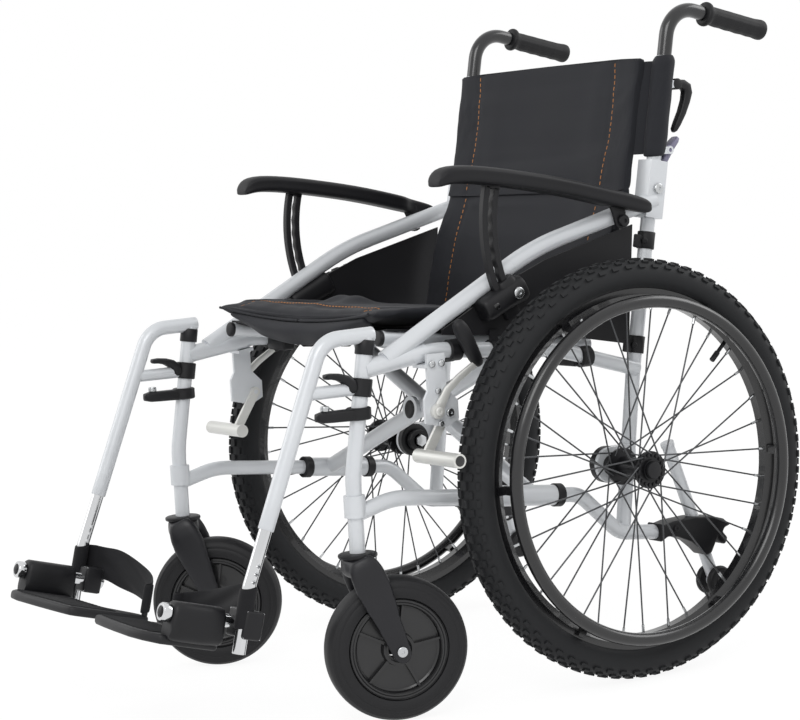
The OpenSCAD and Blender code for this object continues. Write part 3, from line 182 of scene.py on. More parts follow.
wear = {"side_frame": "framePaint", "side_guard": "guardSheet", "frame_fittings": "blackPlastic",
        "frame_hardware": "brightSteel", "brake_bracket": "framePaint", "brake_lever": "leverPaint",
        "brake_shoe": "leverPaint", "tyre": "tyreRubber", "rim": "rimCoat", "spokes": "spokeSteel",
        "hub": "hubCoat", "handrim": "handrimCoat", "castor_fork": "forkCoat",
        "castor_wheel": "castorRubber", "hanger": "framePaint", "hanger_latch": "blackPlastic",
        "leg_extension": "chromeTube", "footplate_pivot": "chromeTube", "footplate": "platePlastic",
        "heel_loop": "webbing", "arm_rest": "padFoam", "antitip_tube": "framePaint",
        "antitip_wheel": "castorRubber", "back_cane": "framePaint", "push_handle": "handleTube",
        "handle_clamp_lever": "blackPlastic", "back_release_lever": "leverGrey",
        "brace_front": "framePaint", "brace_rear": "framePaint", "seat_sling": "webbing",
        "seat_cushion": "cloth", "back_upper": "cloth", "back_lower": "cloth"}
for name, piece in nodes.items():
    kind = name.split("_", 1)[1] if name.split("_", 1)[0] in sides else name
    piece.data.materials.clear()
    piece.data.materials.append(finishes[wear[kind]])

# floor and sky look white to the camera and in gloss, and the floor keeps the shadow
floorWhite, tree, shader = newMaterial("paleStudioFloor")
shader.inputs["Base Color"].default_value = linear("#FBFBFB")
shader.inputs["Roughness"].default_value = 0.8
rays = put(tree, "ShaderNodeLightPath")
direct = put(tree, "ShaderNodeMath", {0: rays.outputs["Is Camera Ray"], 1: rays.outputs["Is Glossy Ray"]},
             operation="MAXIMUM")
shown = put(tree, "ShaderNodeMath", {0: direct.outputs["Value"], 1: rays.outputs["Is Transmission Ray"]},
            operation="MAXIMUM")
share = put(tree, "ShaderNodeMath", {0: shown.outputs["Value"], 1: studio["floorGlow"]}, operation="MULTIPLY")
# with the lit share the floor comes to 1
glow = put(tree, "ShaderNodeEmission", {"Color": linear("#FFFFFF"), "Strength": studio["glowStrength"]})
mixed = put(tree, "ShaderNodeMixShader", {0: share.outputs["Value"], 1: shader.outputs["BSDF"],
                                          2: glow.outputs["Emission"]})
tree.links.new(mixed.outputs["Shader"], tree.nodes["Material Output"].inputs["Surface"])
floor.data.materials.append(floorWhite)
world = bpy.data.worlds.new("studioSky")
bpy.context.scene.world = world
world.use_nodes = True
tree = world.node_tree
sky = tree.nodes["Background"]
path = put(tree, "ShaderNodeLightPath")
seen = put(tree, "ShaderNodeMath", {0: path.outputs["Is Camera Ray"], 1: path.outputs["Is Glossy Ray"]},
           operation="MAXIMUM")
beyond = put(tree, "ShaderNodeMath", {0: seen.outputs["Value"], 1: path.outputs["Is Transmission Ray"]},
             operation="MAXIMUM")
power = put(tree, "ShaderNodeMapRange", {"Value": beyond.outputs["Value"], "To Min": studio["skyStrength"],
                                         "To Max": 1.0})
sky.inputs["Color"].default_value = linear("#FFFFFF")
tree.links.new(power.outputs["Result"], sky.inputs["Strength"])
print("materials ready:", len(finishes))


# modelling helpers; sizes are mm from the rear axle on the floor, as the part's own sizes are

wheelX, hubZ = 333, 305  # rear wheel: middle of the tyre, axle height
tubeX, caneX, railX = 262, 254, 218  # side frame tubes, back tubes, seat rails
postForm = {"foot": -433, "bendZ": 340, "rake": 10}  # front post: place, start and angle of its rake
outX = Vector((1, 0, 0))


def spot(x, y, z):
    return Vector((x / 1000, y / 1000 + axleY, z / 1000))


def clear():
    if bpy.context.object and bpy.context.object.mode != "OBJECT":
        bpy.ops.object.mode_set(mode="OBJECT")
    bpy.ops.object.select_all(action="DESELECT")


def pick(piece):
    clear()
    piece.select_set(True)
    bpy.context.view_layer.objects.active = piece


def editAll(piece):
    pick(piece)
    bpy.ops.object.mode_set(mode="EDIT")
    bpy.ops.mesh.select_all(action="SELECT")


def modify(piece, kind, **settings):  # adds a modifier and applies it
    pick(piece)
    made = piece.modifiers.new(kind.lower(), kind)
    for key, value in settings.items():
        setattr(made, key, value)
    bpy.ops.object.modifier_apply(modifier=made.name)


def rounded(piece, width, segments=2, angle=40):
    modify(piece, "BEVEL", width=width / 1000, segments=segments, limit_method="ANGLE",
           angle_limit=math.radians(angle))


def smoothed(piece, levels):
    modify(piece, "SUBSURF", levels=levels, render_levels=levels)


def shaped(points, edges, faces):  # a piece from its own points, in metres
    mesh = bpy.data.meshes.new("shape")
    mesh.from_pydata([tuple(p) for p in points], edges, faces)
    piece = bpy.data.objects.new("shape", mesh)
    bpy.context.scene.collection.objects.link(piece)
    return piece


def lofted(rings, closedEnds=True):  # skin over rings of equal count
    n = len(rings[0])
    points = [p for ring in rings for p in ring]
    faces = [(i * n + j, i * n + (j + 1) % n, (i + 1) * n + (j + 1) % n, (i + 1) * n + j)
             for i in range(len(rings) - 1) for j in range(n)]
    if closedEnds:
        faces += [tuple(range(n - 1, -1, -1)), tuple((len(rings) - 1) * n + j for j in range(n))]
    return shaped(points, [], faces)


def spun(profile, centre, axis, steps):  # profile of points turned full circle about an axis
    piece = shaped(profile, [(i, i + 1) for i in range(len(profile) - 1)], [])
    editAll(piece)
    bpy.ops.mesh.spin(steps=steps, angle=2 * math.pi, center=centre, axis=axis)
    bpy.ops.mesh.select_all(action="SELECT")
    bpy.ops.mesh.remove_doubles(threshold=0.00002)
    bpy.ops.object.mode_set(mode="OBJECT")
    return piece


def ring(centre, across, upward, half, tall, count=16, square=1.0):  # oval ring, squarer as square falls
    made = []
    for k in range(count):
        a = 2 * math.pi * k / count
        c, s = math.cos(a), math.sin(a)
        made.append(centre + across * (half * math.copysign(abs(c) ** square, c))
                    + upward * (tall * math.copysign(abs(s) ** square, s)))
    return made


# tapered bar along a path; radii are (half width, half height)
def swept(path, radii, count=16, square=1.0, sideways=Vector((1, 0, 0))):
    rings = []
    for i, p in enumerate(path):
        along = (path[min(i + 1, len(path) - 1)] - path[max(i - 1, 0)]).normalized()
        across = (sideways - along * sideways.dot(along)).normalized()
        half, tall = radii[i]
        rings.append(ring(p, across, along.cross(across), half / 1000, tall / 1000, count, square))
    return lofted(rings)


# bar in a plane of constant x; rows are y, z, half width, half height
def bar(x, rows, count=16, square=1.0):
    return swept([spot(x, y, z) for y, z, *rest in rows], [row[2:] for row in rows], count, square)


def block(centre, size, turn=(0, 0, 0)):  # bevelled later; a cube primitive at its size and place
    clear()
    bpy.ops.mesh.primitive_cube_add(size=1, location=centre, rotation=turn)
    piece = bpy.context.object
    piece.scale = [s / 1000 for s in size]
    bpy.ops.object.transform_apply(location=True, rotation=True, scale=True)
    return piece


def barrel(start, end, radius, count=32, bevel=0.0):  # capped cylinder primitive between two points
    along = end - start
    clear()
    bpy.ops.mesh.primitive_cylinder_add(vertices=count, radius=radius / 1000, depth=along.length,
                                        location=(start + end) / 2,
                                        rotation=along.to_track_quat("Z", "Y").to_euler())
    piece = bpy.context.object
    bpy.ops.object.transform_apply(location=True, rotation=True, scale=True)
    if bevel:
        rounded(piece, bevel)
    return piece


def united(pieces):  # joins pieces into the first
    clear()
    for piece in pieces:
        piece.select_set(True)
    bpy.context.view_layer.objects.active = pieces[0]
    bpy.ops.object.join()
    return pieces[0]


def flipped(piece):  # the right hand copy of a left hand piece
    pick(piece)
    piece.scale.x = -1
    bpy.ops.object.transform_apply(location=True, rotation=True, scale=True)
    return piece


def settle(piece, name, body, finish, stands=(), smoothAngle=38, side=None):
    if side == "right":
        flipped(piece)
    editAll(piece)
    bpy.ops.mesh.remove_doubles(threshold=0.00001)
    bpy.ops.mesh.normals_make_consistent(inside=False)
    bpy.ops.object.mode_set(mode="OBJECT")
    bpy.ops.object.shade_smooth_by_angle(angle=math.radians(smoothAngle))
    piece.name = name
    piece.data.materials.clear()
    piece.data.materials.append(finishes[finish])
    if body:
        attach(piece, body)
    if stands:
        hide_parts(*stands)
    return piece


def bolt(centre, outward, radius, height):  # domed head with a hexagon socket
    clear()
    bpy.ops.mesh.primitive_cylinder_add(vertices=32, radius=radius / 1000, depth=height / 1000,
                                        location=centre + outward * (height / 2000),
                                        rotation=outward.to_track_quat("Z", "Y").to_euler())
    head = bpy.context.object
    bpy.ops.object.transform_apply(location=True, rotation=True, scale=True)
    rounded(head, min(radius, height) * 0.35, 3)
    editAll(head)
    bpy.ops.mesh.select_all(action="DESELECT")
    bpy.ops.object.mode_set(mode="OBJECT")
    top = max(head.data.polygons, key=lambda f: (f.center - centre).dot(outward) + f.area)
    top.select = True
    bpy.ops.object.mode_set(mode="EDIT")
    bpy.ops.mesh.inset(thickness=radius * 0.45 / 1000, depth=0)
    bpy.ops.mesh.inset(thickness=0.0002, depth=-height * 0.35 / 1000)
    bpy.ops.object.mode_set(mode="OBJECT")
    return head


# rear wheels: knobbly tyre, spoke nipples, valve, hub ring

tyreForm = {"knobs": 76, "steps": 152, "taper": 0.78,
            "casing": [(-14, 260), (-19, 262), (-23.5, 268), (-25.6, 277), (-24.6, 286), (-20.5, 293.5),
                       (-13, 298.5), (-5, 300.4), (0, 300.8)],
            # row: across, radius, length, width, height, lean in degrees, half pitch shift
            "rows": [(-5.6, 300.4, 14, 9, 8.2, -4, 0), (5.6, 300.4, 14, 9, 8.2, 4, 0.5),
                     (-14, 297.2, 12, 8, 7.6, -26, 0.5),
                     (14, 297.2, 12, 8, 7.6, 26, 0), (-21.4, 291.4, 13, 7, 8.0, -58, 0),
                     (21.4, 291.4, 13, 7, 8.0, 58, 0.5)]}


def knobRow(row):
    across, radius, length, width, height, lean, shift = row
    pitch = 2 * math.pi / tyreForm["knobs"]
    centre = spot(wheelX + across, 0, hubZ + radius)
    knob = block(centre, (width, length, height), (0, math.radians(lean), 0))
    outward = Vector((math.sin(math.radians(lean)), 0, math.cos(math.radians(lean))))
    for face in knob.data.polygons:
        face.select = face.normal.dot(outward) > 0.9
    bpy.ops.object.mode_set(mode="EDIT")
    bpy.ops.transform.resize(value=(tyreForm["taper"],) * 3)  # knobs taper to their tops
    bpy.ops.mesh.select_all(action="SELECT")
    hub = spot(wheelX, 0, hubZ)
    bpy.ops.transform.rotate(value=pitch * shift, orient_axis="X", center_override=hub)
    bpy.ops.mesh.spin(steps=tyreForm["knobs"], dupli=True, angle=2 * math.pi, center=hub, axis=(1, 0, 0))
    bpy.ops.mesh.select_all(action="SELECT")
    bpy.ops.mesh.remove_doubles(threshold=0.00002)
    bpy.ops.object.mode_set(mode="OBJECT")
    return knob


spokeForm = {"count": 36, "rimR": 243, "hubR": 22, "cross": 60, "flange": 32, "side": 2.6, "lean": 3,
             "nippleIn": 2, "nippleOut": 13, "nippleR": 2.1}


def spokeEnds(k):
    s = -1 if (k // 2) % 2 == 0 else 1
    f = -1 if k % 2 == 0 else 1
    a = math.radians(k * 360 / spokeForm["count"])
    h = a - math.radians(s * spokeForm["cross"])
    def place(r, angle, out):
        return spot(wheelX + out, r * math.sin(angle), hubZ - r * math.cos(angle))
    return (place(spokeForm["hubR"], h, f * (spokeForm["flange"] + s * spokeForm["side"])),
            place(spokeForm["rimR"], a, f * spokeForm["lean"]))


valve = {"angle": 43, "length": 34, "stemR": 3.0, "capR": 4.2}
hubCapForm = {"x": 371, "profile": [(371.2, 0), (371.2, 9), (370.6, 12), (368.8, 14.4), (366, 15.4)],
              "heads": 18, "ring": 21.5, "headX": (366.6, 369.2), "headR": 2.6}

for side in sides:
    section = [spot(wheelX + x, 0, hubZ + r) for x, r in tyreForm["casing"]]
    section += [spot(wheelX - x, 0, hubZ + r) for x, r in reversed(tyreForm["casing"][:-1])]
    casing = spun(section + [section[0]], spot(wheelX, 0, hubZ), (1, 0, 0), tyreForm["steps"])
    tyre = united([casing] + [knobRow(row) for row in tyreForm["rows"]])
    settle(tyre, side + "KnobblyTyre", side + "_wheel", "tyreRubber", (side + "_tyre",), 32,
           side)

    nipples = []
    for k in range(spokeForm["count"]):
        inner, outer = spokeEnds(k)
        along = (inner - outer).normalized()
        nipples.append(barrel(outer - along * (spokeForm["nippleIn"] / 1000),
                              outer + along * (spokeForm["nippleOut"] / 1000), spokeForm["nippleR"], 8))
    settle(united(nipples), side + "SpokeNipples", side + "_wheel", "brightSteel", (), 38,
           side)

    a = math.radians(valve["angle"])
    inward = Vector((0, -math.cos(a), -math.sin(a)))
    root = spot(wheelX, spokeForm["rimR"] * math.cos(a), hubZ + spokeForm["rimR"] * math.sin(a))
    stem = barrel(root - inward * 0.004, root + inward * (valve["length"] / 1000), valve["stemR"], 16, 0.5)
    cap = barrel(root + inward * (valve["length"] * 0.55 / 1000),
                 root + inward * (valve["length"] * 1.05 / 1000), valve["capR"], 16, 1.2)
    settle(united([stem, cap]), side + "TyreValve", side + "_wheel", "blackPlastic", (), 38,
           side)

    # ring of spoke heads and a plain domed cap on the hub
    hubCap = spun([spot(x, 0, hubZ + r) for x, r in hubCapForm["profile"]], spot(hubCapForm["x"], 0, hubZ),
                  (1, 0, 0), 48)
    heads = []
    for k in range(hubCapForm["heads"]):
        b = 2 * math.pi * k / hubCapForm["heads"]
        ends = [spot(x, hubCapForm["ring"] * math.cos(b), hubZ + hubCapForm["ring"] * math.sin(b))
                for x in hubCapForm["headX"]]
        heads.append(barrel(*ends, hubCapForm["headR"], 10, 0.8))
    settle(united([hubCap] + heads), side + "HubCap", side + "_wheel", "hubCoat", (), 38, side)
print("wheels done")


# castors: moulded fork round a ribbed wheel

castorForm = {"stem": (tubeX, postForm["foot"]), "turn": {"left": -18, "right": 35},
              "trail": 46, "axleZ": 100,
              "tyre": [(17, 70), (20.5, 71), (22.3, 76), (22.8, 82), (21.4, 85), (22.2, 87.5), (21.0, 90.5),
                       (19.8, 92), (19.4, 94.6),
                       (15, 98.2), (8, 99.7), (0, 100)],
              "core": [(5, 14), (17, 15), (19, 18), (19, 22), (9, 24), (7.5, 30), (7.5, 57), (9, 59.5),
                       (17.5, 60.5), (19.2, 62), (19.2, 64),
                       (17.8, 65.5), (17.8, 68), (19.6, 69.5), (17.5, 70.2)],
              "ribs": 5, "ribHalf": 1.6, "ribOut": 15, "ribFrom": 20, "ribTo": 61,
              # fork blade from crown to axle: along, outward place, half thickness, half width
              "blade": [(-0.06, 25, 7, 15), (0.02, 27, 9, 21), (0.12, 28.6, 9, 24), (0.26, 30, 7.4, 25),
                        (0.45, 31, 5.6, 22.5), (0.66, 31.4, 4.6, 18.5),
                        (0.86, 31.4, 4.2, 16), (1.0, 31.4, 4.0, 15), (1.08, 31.4, 3.6, 12.8),
                        (1.125, 31.4, 2.6, 7.5), (1.14, 31.4, 1.4, 2.5)],
              "crownZ": 224,
              "crown": [(204, 27, 15), (206, 33, 20), (212, 34.5, 22.5), (220, 32, 23), (226, 27, 23),
                        (230, 24, 22.5)],
              "cap": [(0, 229), (24, 229), (26.6, 230), (27.4, 232), (27, 234.4), (25, 235.6), (14, 235.7),
                      (0, 235.7)],
              "boltR": 7.5, "boltH": 4.5, "boltX": 35.2}


def castorSpot(angle, x, y, z):  # point of the fork's own frame, trailing along +y
    a = math.radians(angle)
    return spot(castorForm["stem"][0] + x * math.cos(a) - y * math.sin(a),
                castorForm["stem"][1] + x * math.sin(a) + y * math.cos(a), z)


def mirroredProfile(half):  # (across, radius) from one face, over the middle, to the other
    tail = [(-x, r) for x, r in reversed(half)]
    return half + (tail[1:] if half[-1][0] == 0 else tail)


for side in sides:
    turn = castorForm["turn"][side]
    trail, axleZ = castorForm["trail"], castorForm["axleZ"]
    hub = castorSpot(turn, 0, trail, axleZ)
    axis = castorSpot(turn, 1000, trail, axleZ) - hub
    tread = [castorSpot(turn, x, trail, axleZ + r) for x, r in mirroredProfile(castorForm["tyre"])]
    tyre = spun(tread + [tread[0]], hub, axis, 96)
    settle(tyre, side + "CastorTyre", side + "_castor_roller", "castorRubber",
           (side + "_castor_wheel",), 40, side)
    inner = [castorSpot(turn, x, trail, axleZ + r) for x, r in castorForm["core"]]
    outer = [castorSpot(turn, -x, trail, axleZ + r) for x, r in reversed(castorForm["core"])]
    core = [spun(inner + outer + [inner[0]], hub, axis, 72)]
    for k in range(castorForm["ribs"]):
        a = 2 * math.pi * (k + 0.12) / castorForm["ribs"]
        def ribRing(r, thick, out):
            return [castorSpot(turn, x, trail + r * math.cos(a) - t * math.sin(a),
                               axleZ + r * math.sin(a) + t * math.cos(a))
                    for x, t in ((-out, -thick), (out, -thick), (out, thick), (-out, thick))]
        half, out = castorForm["ribHalf"], castorForm["ribOut"]
        core.append(lofted([ribRing(castorForm["ribFrom"], half * 1.6, out + 2),
                            ribRing(castorForm["ribFrom"] + 14, half, out),
                            ribRing(castorForm["ribTo"], half, out)]))
    settle(united(core), side + "CastorCore", side + "_castor_roller", "castorCore", (), 30,
           side)

    fork = []
    top = Vector((0, castorForm["crownZ"]))
    low = Vector((trail, axleZ))
    across = castorSpot(turn, 1000, 0, 0) - castorSpot(turn, 0, 0, 0)
    for s in (-1, 1):
        rings = []
        for along, out, thick, wide in castorForm["blade"]:
            at = top.lerp(low, along)
            run = castorSpot(turn, 0, low.x, low.y) - castorSpot(turn, 0, top.x, top.y)
            inPlane = run.normalized().cross(across)
            rings.append(ring(castorSpot(turn, s * out, at.x, at.y), across, inPlane, thick / 1000,
                              wide / 1000, 24, 0.72))
        fork.append(lofted(rings))
    def crownRing(z, wide, deep):
        centre = castorSpot(turn, 0, 0, z)
        return ring(centre, across, castorSpot(turn, 0, 1000, z) - centre, wide / 1000, deep / 1000, 48, 0.8)
    fork.append(lofted([crownRing(*row) for row in castorForm["crown"]]))
    fork = united(fork)
    modify(fork, "REMESH", mode="VOXEL", voxel_size=0.0026)
    modify(fork, "SMOOTH", factor=0.5, iterations=9)
    modify(fork, "DECIMATE", ratio=0.5)
    settle(fork, side + "MouldedFork", side + "_castor", "forkCoat", (side + "_castor_fork",),
           60, side)
    stem = castorSpot(turn, 0, 0, 0)
    cap = spun([stem + Vector((r / 1000, 0, z / 1000)) for r, z in castorForm["cap"]], stem, (0, 0, 1), 64)
    settle(cap, side + "StemCap", side + "_castor", "blackPlastic", (), 40, side)
    heads = [bolt(castorSpot(turn, s * castorForm["boltX"], trail, axleZ), across * s, castorForm["boltR"],
                  castorForm["boltH"]) for s in (-1, 1)]
    settle(united(heads), side + "CastorBolts", side + "_castor", "brightSteel", (), 40, side)
print("castors done")


# seat: quilted pad on its sling

foldForm = {"y": -150, "z": 278, "tilt": 6.5}


def foldSpot(x, y, n):  # point of the seat's tilted frame
    c, s = math.cos(math.radians(foldForm["tilt"])), math.sin(math.radians(foldForm["tilt"]))
    return spot(x, foldForm["y"] + y * c + n * s, foldForm["z"] - y * s + n * c)


def ease(t):
    t = max(0.0, min(1.0, t))
    return t * t * (3 - 2 * t)


def waves(u, v, seed):  # gentle uneven folds between -1 and 1
    return (math.sin(u * 2.1 + 1.7 * math.sin(v * 1.3 + seed))
            + 0.6 * math.sin(u * 4.7 - v * 1.1 + seed * 2.3)
            + 0.45 * math.sin(v * 3.9 + u * 0.7 + seed * 1.9)) / 2.05


def signedPower(value, power):
    return math.copysign(abs(value) ** power, value)


def swelled(piece, pressure, cap):  # closed pad blown up a little by cloth, no point moving further than cap
    before = [v.co.copy() for v in piece.data.vertices]
    pick(piece)
    cloth = piece.modifiers.new("cloth", "CLOTH")
    cloth.settings.use_pressure = True
    cloth.settings.uniform_pressure_force = pressure
    cloth.settings.tension_stiffness = 12
    cloth.settings.compression_stiffness = 12
    cloth.settings.shear_stiffness = 4
    cloth.settings.bending_stiffness = 0.4
    cloth.settings.effector_weights.gravity = 0
    cloth.point_cache.frame_start, cloth.point_cache.frame_end = 1, 16
    for frameNumber in range(1, 17):
        bpy.context.scene.frame_set(frameNumber)
    bpy.ops.object.modifier_apply(modifier=cloth.name)
    bpy.context.scene.frame_set(1)
    for vertex, start in zip(piece.data.vertices, before):
        moved = vertex.co - start
        if moved.length > cap / 1000:
            vertex.co = start + moved * (cap / 1000 / moved.length)


seatForm = {"half": 219, "front": -240, "rear": 126, "low": 237.5, "thick": 33, "crown": 4, "sag": 12,
            "sagRear": 2, "rows": 62, "topCols": 74, "lowCols": 26,
            "channels": (-0.83, 0.83), "channelWide": 0.028, "channelDeep": 5.0, "corner": 0.075,
            "cornerAhead": 7,
            "frontSeam": 30, "seamDeep": 2.8, "foldTall": 15, "foldAt": (-0.55, 0.45),
            "foldSize": (0.24, 0.06)}


def seatSag(v):  # the middle hangs deepest at the front edge
    return seatForm["sag"] * (1 - v) ** 2 + seatForm["sagRear"]


def seatPoint(v, c, top):  # v runs 0 to 1 from front to rear, c -1 to 1 across
    w = 2 * v - 1
    ends = max(0.0, 1 - abs(w) ** 9) ** 0.40
    edge = max(0.0, 1 - abs(c) ** 11) ** 0.42
    tip = abs(c) ** 6 * abs(w) ** 8 * (1 if w < 0 else 0.5)  # drawn-out pillow corners
    x = seatForm["half"] * c * (1 - 0.03 * (1 - w * w) * c * c) * (1 + seatForm["corner"] * tip)
    y = (seatForm["front"] + (seatForm["rear"] - seatForm["front"]) * v
         - math.copysign(seatForm["cornerAhead"], -w) * tip)
    y += 8 * (1 - c * c) * (1 if w < 0 else -1) * abs(w) ** 6
    lift = 0.0
    if top:
        dip = max(math.exp(-((c - u) / seatForm["channelWide"]) ** 2) for u in seatForm["channels"])
        seam = math.exp(-((y - seatForm["front"] - seatForm["frontSeam"]) / 6) ** 2) * (abs(c) < 0.83)
        lift = (seatForm["crown"] * (1 - c * c) - dip * seatForm["channelDeep"]
                - seam * seatForm["seamDeep"]) * ends
        lift += 2.2 * waves(c * 5.2, v * 6.0, 0.8) * ends * edge
        (fc, fv), (sc, sv) = seatForm["foldAt"], seatForm["foldSize"]
        # cloth pushed up in a fold
        lift += seatForm["foldTall"] * math.exp(-((c - fc) / sc) ** 4 - ((v - fv) / sv) ** 2)
    middle = seatForm["low"] + seatForm["thick"] / 2 - seatSag(v) * (1 - c * c)
    sign = 1 if top else -1
    return foldSpot(x, y, middle + seatForm["thick"] / 2 * sign * edge * (0.16 + 0.84 * ends) + lift)


def seatRing(v):
    across = [(1 - 2 * k / seatForm["topCols"], True) for k in range(seatForm["topCols"] + 1)]
    across += [(-1 + 2 * k / seatForm["lowCols"], False) for k in range(1, seatForm["lowCols"])]
    return [seatPoint(v, c, top) for c, top in across]


def seatShare(i):  # rows crowd towards the front and rear edges
    last = seatForm["rows"] - 1
    crowd = 0.5 - 0.5 * math.cos(math.pi * i / last)
    return crowd if i in (0, last) else 0.35 * i / last + 0.65 * crowd


pad = lofted([seatRing(seatShare(i)) for i in range(seatForm["rows"])])
swelled(pad, 2.2, 4)
smoothed(pad, 1)
settle(pad, "quiltedSeatPad", "seat", "cloth", ("seat_cushion",), 70)

slingForm = {"half": 228, "front": -221, "rear": 131, "rise": 230.6, "thick": 2.4, "sag": 1.5, "cols": 40,
             "rows": 30}
slingTop = []
for layer in (0, 1):
    for j in range(slingForm["rows"]):
        for i in range(slingForm["cols"]):
            u = 2 * i / (slingForm["cols"] - 1) - 1
            v = j / (slingForm["rows"] - 1)
            sag = (seatSag(v) + slingForm["sag"]) * (1 - u * u) + 0.4 * waves(u * 6, v * 5, 2.2)
            y = slingForm["front"] + v * (slingForm["rear"] - slingForm["front"])
            slingTop.append(foldSpot(u * slingForm["half"], y,
                                     slingForm["rise"] + slingForm["thick"] * (1 - layer) - sag))
n, m = slingForm["cols"], slingForm["rows"]
quads = []
for j in range(m - 1):
    for i in range(n - 1):
        a, b = j * n + i, n * m + j * n + i
        quads += [(a, a + 1, a + n + 1, a + n), (b, b + n, b + n + 1, b + 1)]
rim = list(range(n)) + [j * n + n - 1 for j in range(1, m)]
rim += [(m - 1) * n + i for i in range(n - 2, -1, -1)] + [j * n for j in range(m - 2, 0, -1)]
quads += [(rim[k], rim[(k + 1) % len(rim)], rim[(k + 1) % len(rim)] + n * m, rim[k] + n * m)
          for k in range(len(rim))]
sling = shaped(slingTop, [], quads)
settle(sling, "seatSling", "seat", "webbing", ("seat_sling",), 50)


# back cover: upper and lower padded panels, cane sleeves, stitches

backForm = {"kneeY": 66, "kneeZ": 440, "tilt": 11}


def backY(z):
    return backForm["kneeY"] + (z - backForm["kneeZ"]) * math.tan(math.radians(backForm["tilt"]))


coverForm = {"cols": 112, "edge": 0.30, "bow": 8, "wide": 237, "neck": 236, "seamX": 180, "seamWide": 5,
             "seamDeep": 1.6,
             # height, front face ahead of the tube line, thickness, share of full width
             "upper": [(700, 45.6, 18, 0), (702, 45.4, 26, 0), (708, 45, 29, 0), (716, 44.6, 29, 0),
                       (728, 44.4, 28, 0), (744, 44, 28, 0), (768, 44, 28, 0.9),
                       (780, 43, 28, 1), (800, 43, 28, 1), (830, 42, 28, 1), (855, 42, 28, 1),
                       (880, 41, 28, 1), (893, 41, 27, 1), (900, 41, 24, 1), (905, 41, 17, 1)],
             "lower": [(512, 67, 12, 1), (516, 67, 18, 1), (524, 67, 22, 1), (536, 67, 25, 1),
                       (560, 68, 27, 1), (580, 68, 28, 1), (610, 65, 29, 1),
                       (640, 61, 30, 1), (660, 56, 30, 1), (672, 53, 30, 1), (684, 49.6, 30, 0.2),
                       (694, 46.6, 29, 0), (702, 44, 27, 0), (710, 42, 22, 0), (715, 41, 12, 0)]}


def coverPoint(rows, z, a, seed):
    k = max(i for i in range(len(rows) - 1) if rows[i][0] <= z + 1e-6) if z < rows[-1][0] else len(rows) - 2
    t = (z - rows[k][0]) / (rows[k + 1][0] - rows[k][0])
    ahead, thick, share = (rows[k][i] + (rows[k + 1][i] - rows[k][i]) * t for i in (1, 2, 3))
    c, s = signedPower(math.cos(a), coverForm["edge"]), signedPower(math.sin(a), coverForm["edge"])
    half = coverForm["neck"] + (coverForm["wide"] - coverForm["neck"]) * ease(share)
    inner = 1 - abs(c) ** 6
    crease = 1.9 * waves(c * 5.2, z / 95, seed) * inner * (-s)
    crease += 1.5 * math.sin(c * 16 + 1.5 * math.sin(z / 60 + seed)) * inner * (s < 0)
    sew = math.exp(-((abs(c) * half - coverForm["seamX"]) / coverForm["seamWide"]) ** 2) * (s < 0)
    y = backY(z) - ahead + thick / 2 + (thick / 2 - 2) * s + coverForm["bow"] * (1 - c * c)
    return spot(half * c, y + sew * coverForm["seamDeep"] + crease * 0.55, z)


coverPieces = {}
for name, body, node, seed in (("upper", "left_back", "back_upper", 0.4),
                               ("lower", "left_frame", "back_lower", 1.6)):
    rows = coverForm[name]
    heights = []
    for (z0, *_), (z1, *_) in zip(rows, rows[1:]):
        steps = max(1, round((z1 - z0) / 6))
        heights += [z0 + (z1 - z0) * i / steps for i in range(steps)]
    heights.append(rows[-1][0])
    cover = lofted([[coverPoint(rows, z, -2 * math.pi * k / coverForm["cols"], seed)
                     for k in range(coverForm["cols"])] for z in heights])
    swelled(cover, 2.0, 3)
    smoothed(cover, 1)
    settle(cover, name + "BackCover", body, "cloth", (node,), 70)
    coverPieces[name] = cover

sleeveForm = {"low": 751, "high": 903, "radius": 17.2, "rings": 36, "cols": 32, "webZ": (756, 899, 6),
              "web": [(233, -25), (246, -10), (244.2, -8.4), (231.2, -23.4)]}
for side in sides:
    rings = []
    for i in range(sleeveForm["rings"]):
        t = i / (sleeveForm["rings"] - 1)
        z = sleeveForm["low"] + (sleeveForm["high"] - sleeveForm["low"]) * t
        gather = 1 - 0.10 * math.exp(-(t / 0.03) ** 2) - 0.28 * math.exp(-((1 - t) / 0.035) ** 2)
        made = []
        for k in range(sleeveForm["cols"]):
            a = 2 * math.pi * k / sleeveForm["cols"]
            r = sleeveForm["radius"] * gather + 0.5 * waves(a * 2, t * 14, 0.9)
            made.append(spot(caneX + r * math.cos(a), backY(z) + r * math.sin(a), z))
        rings.append(made)
    sleeve = lofted(rings)
    smoothed(sleeve, 1)
    # cloth from the pocket to the cover
    web = lofted([[spot(x, backY(z) + y, z) for x, y in sleeveForm["web"]]
                  for z in range(*sleeveForm["webZ"])])
    settle(united([sleeve, web]), side + "CaneSleeve", side + "_back", "cloth", (), 60,
           side)

stitchForm = {"length": 6.5, "pitch": 9.0, "half": 0.75, "proud": 0.5}


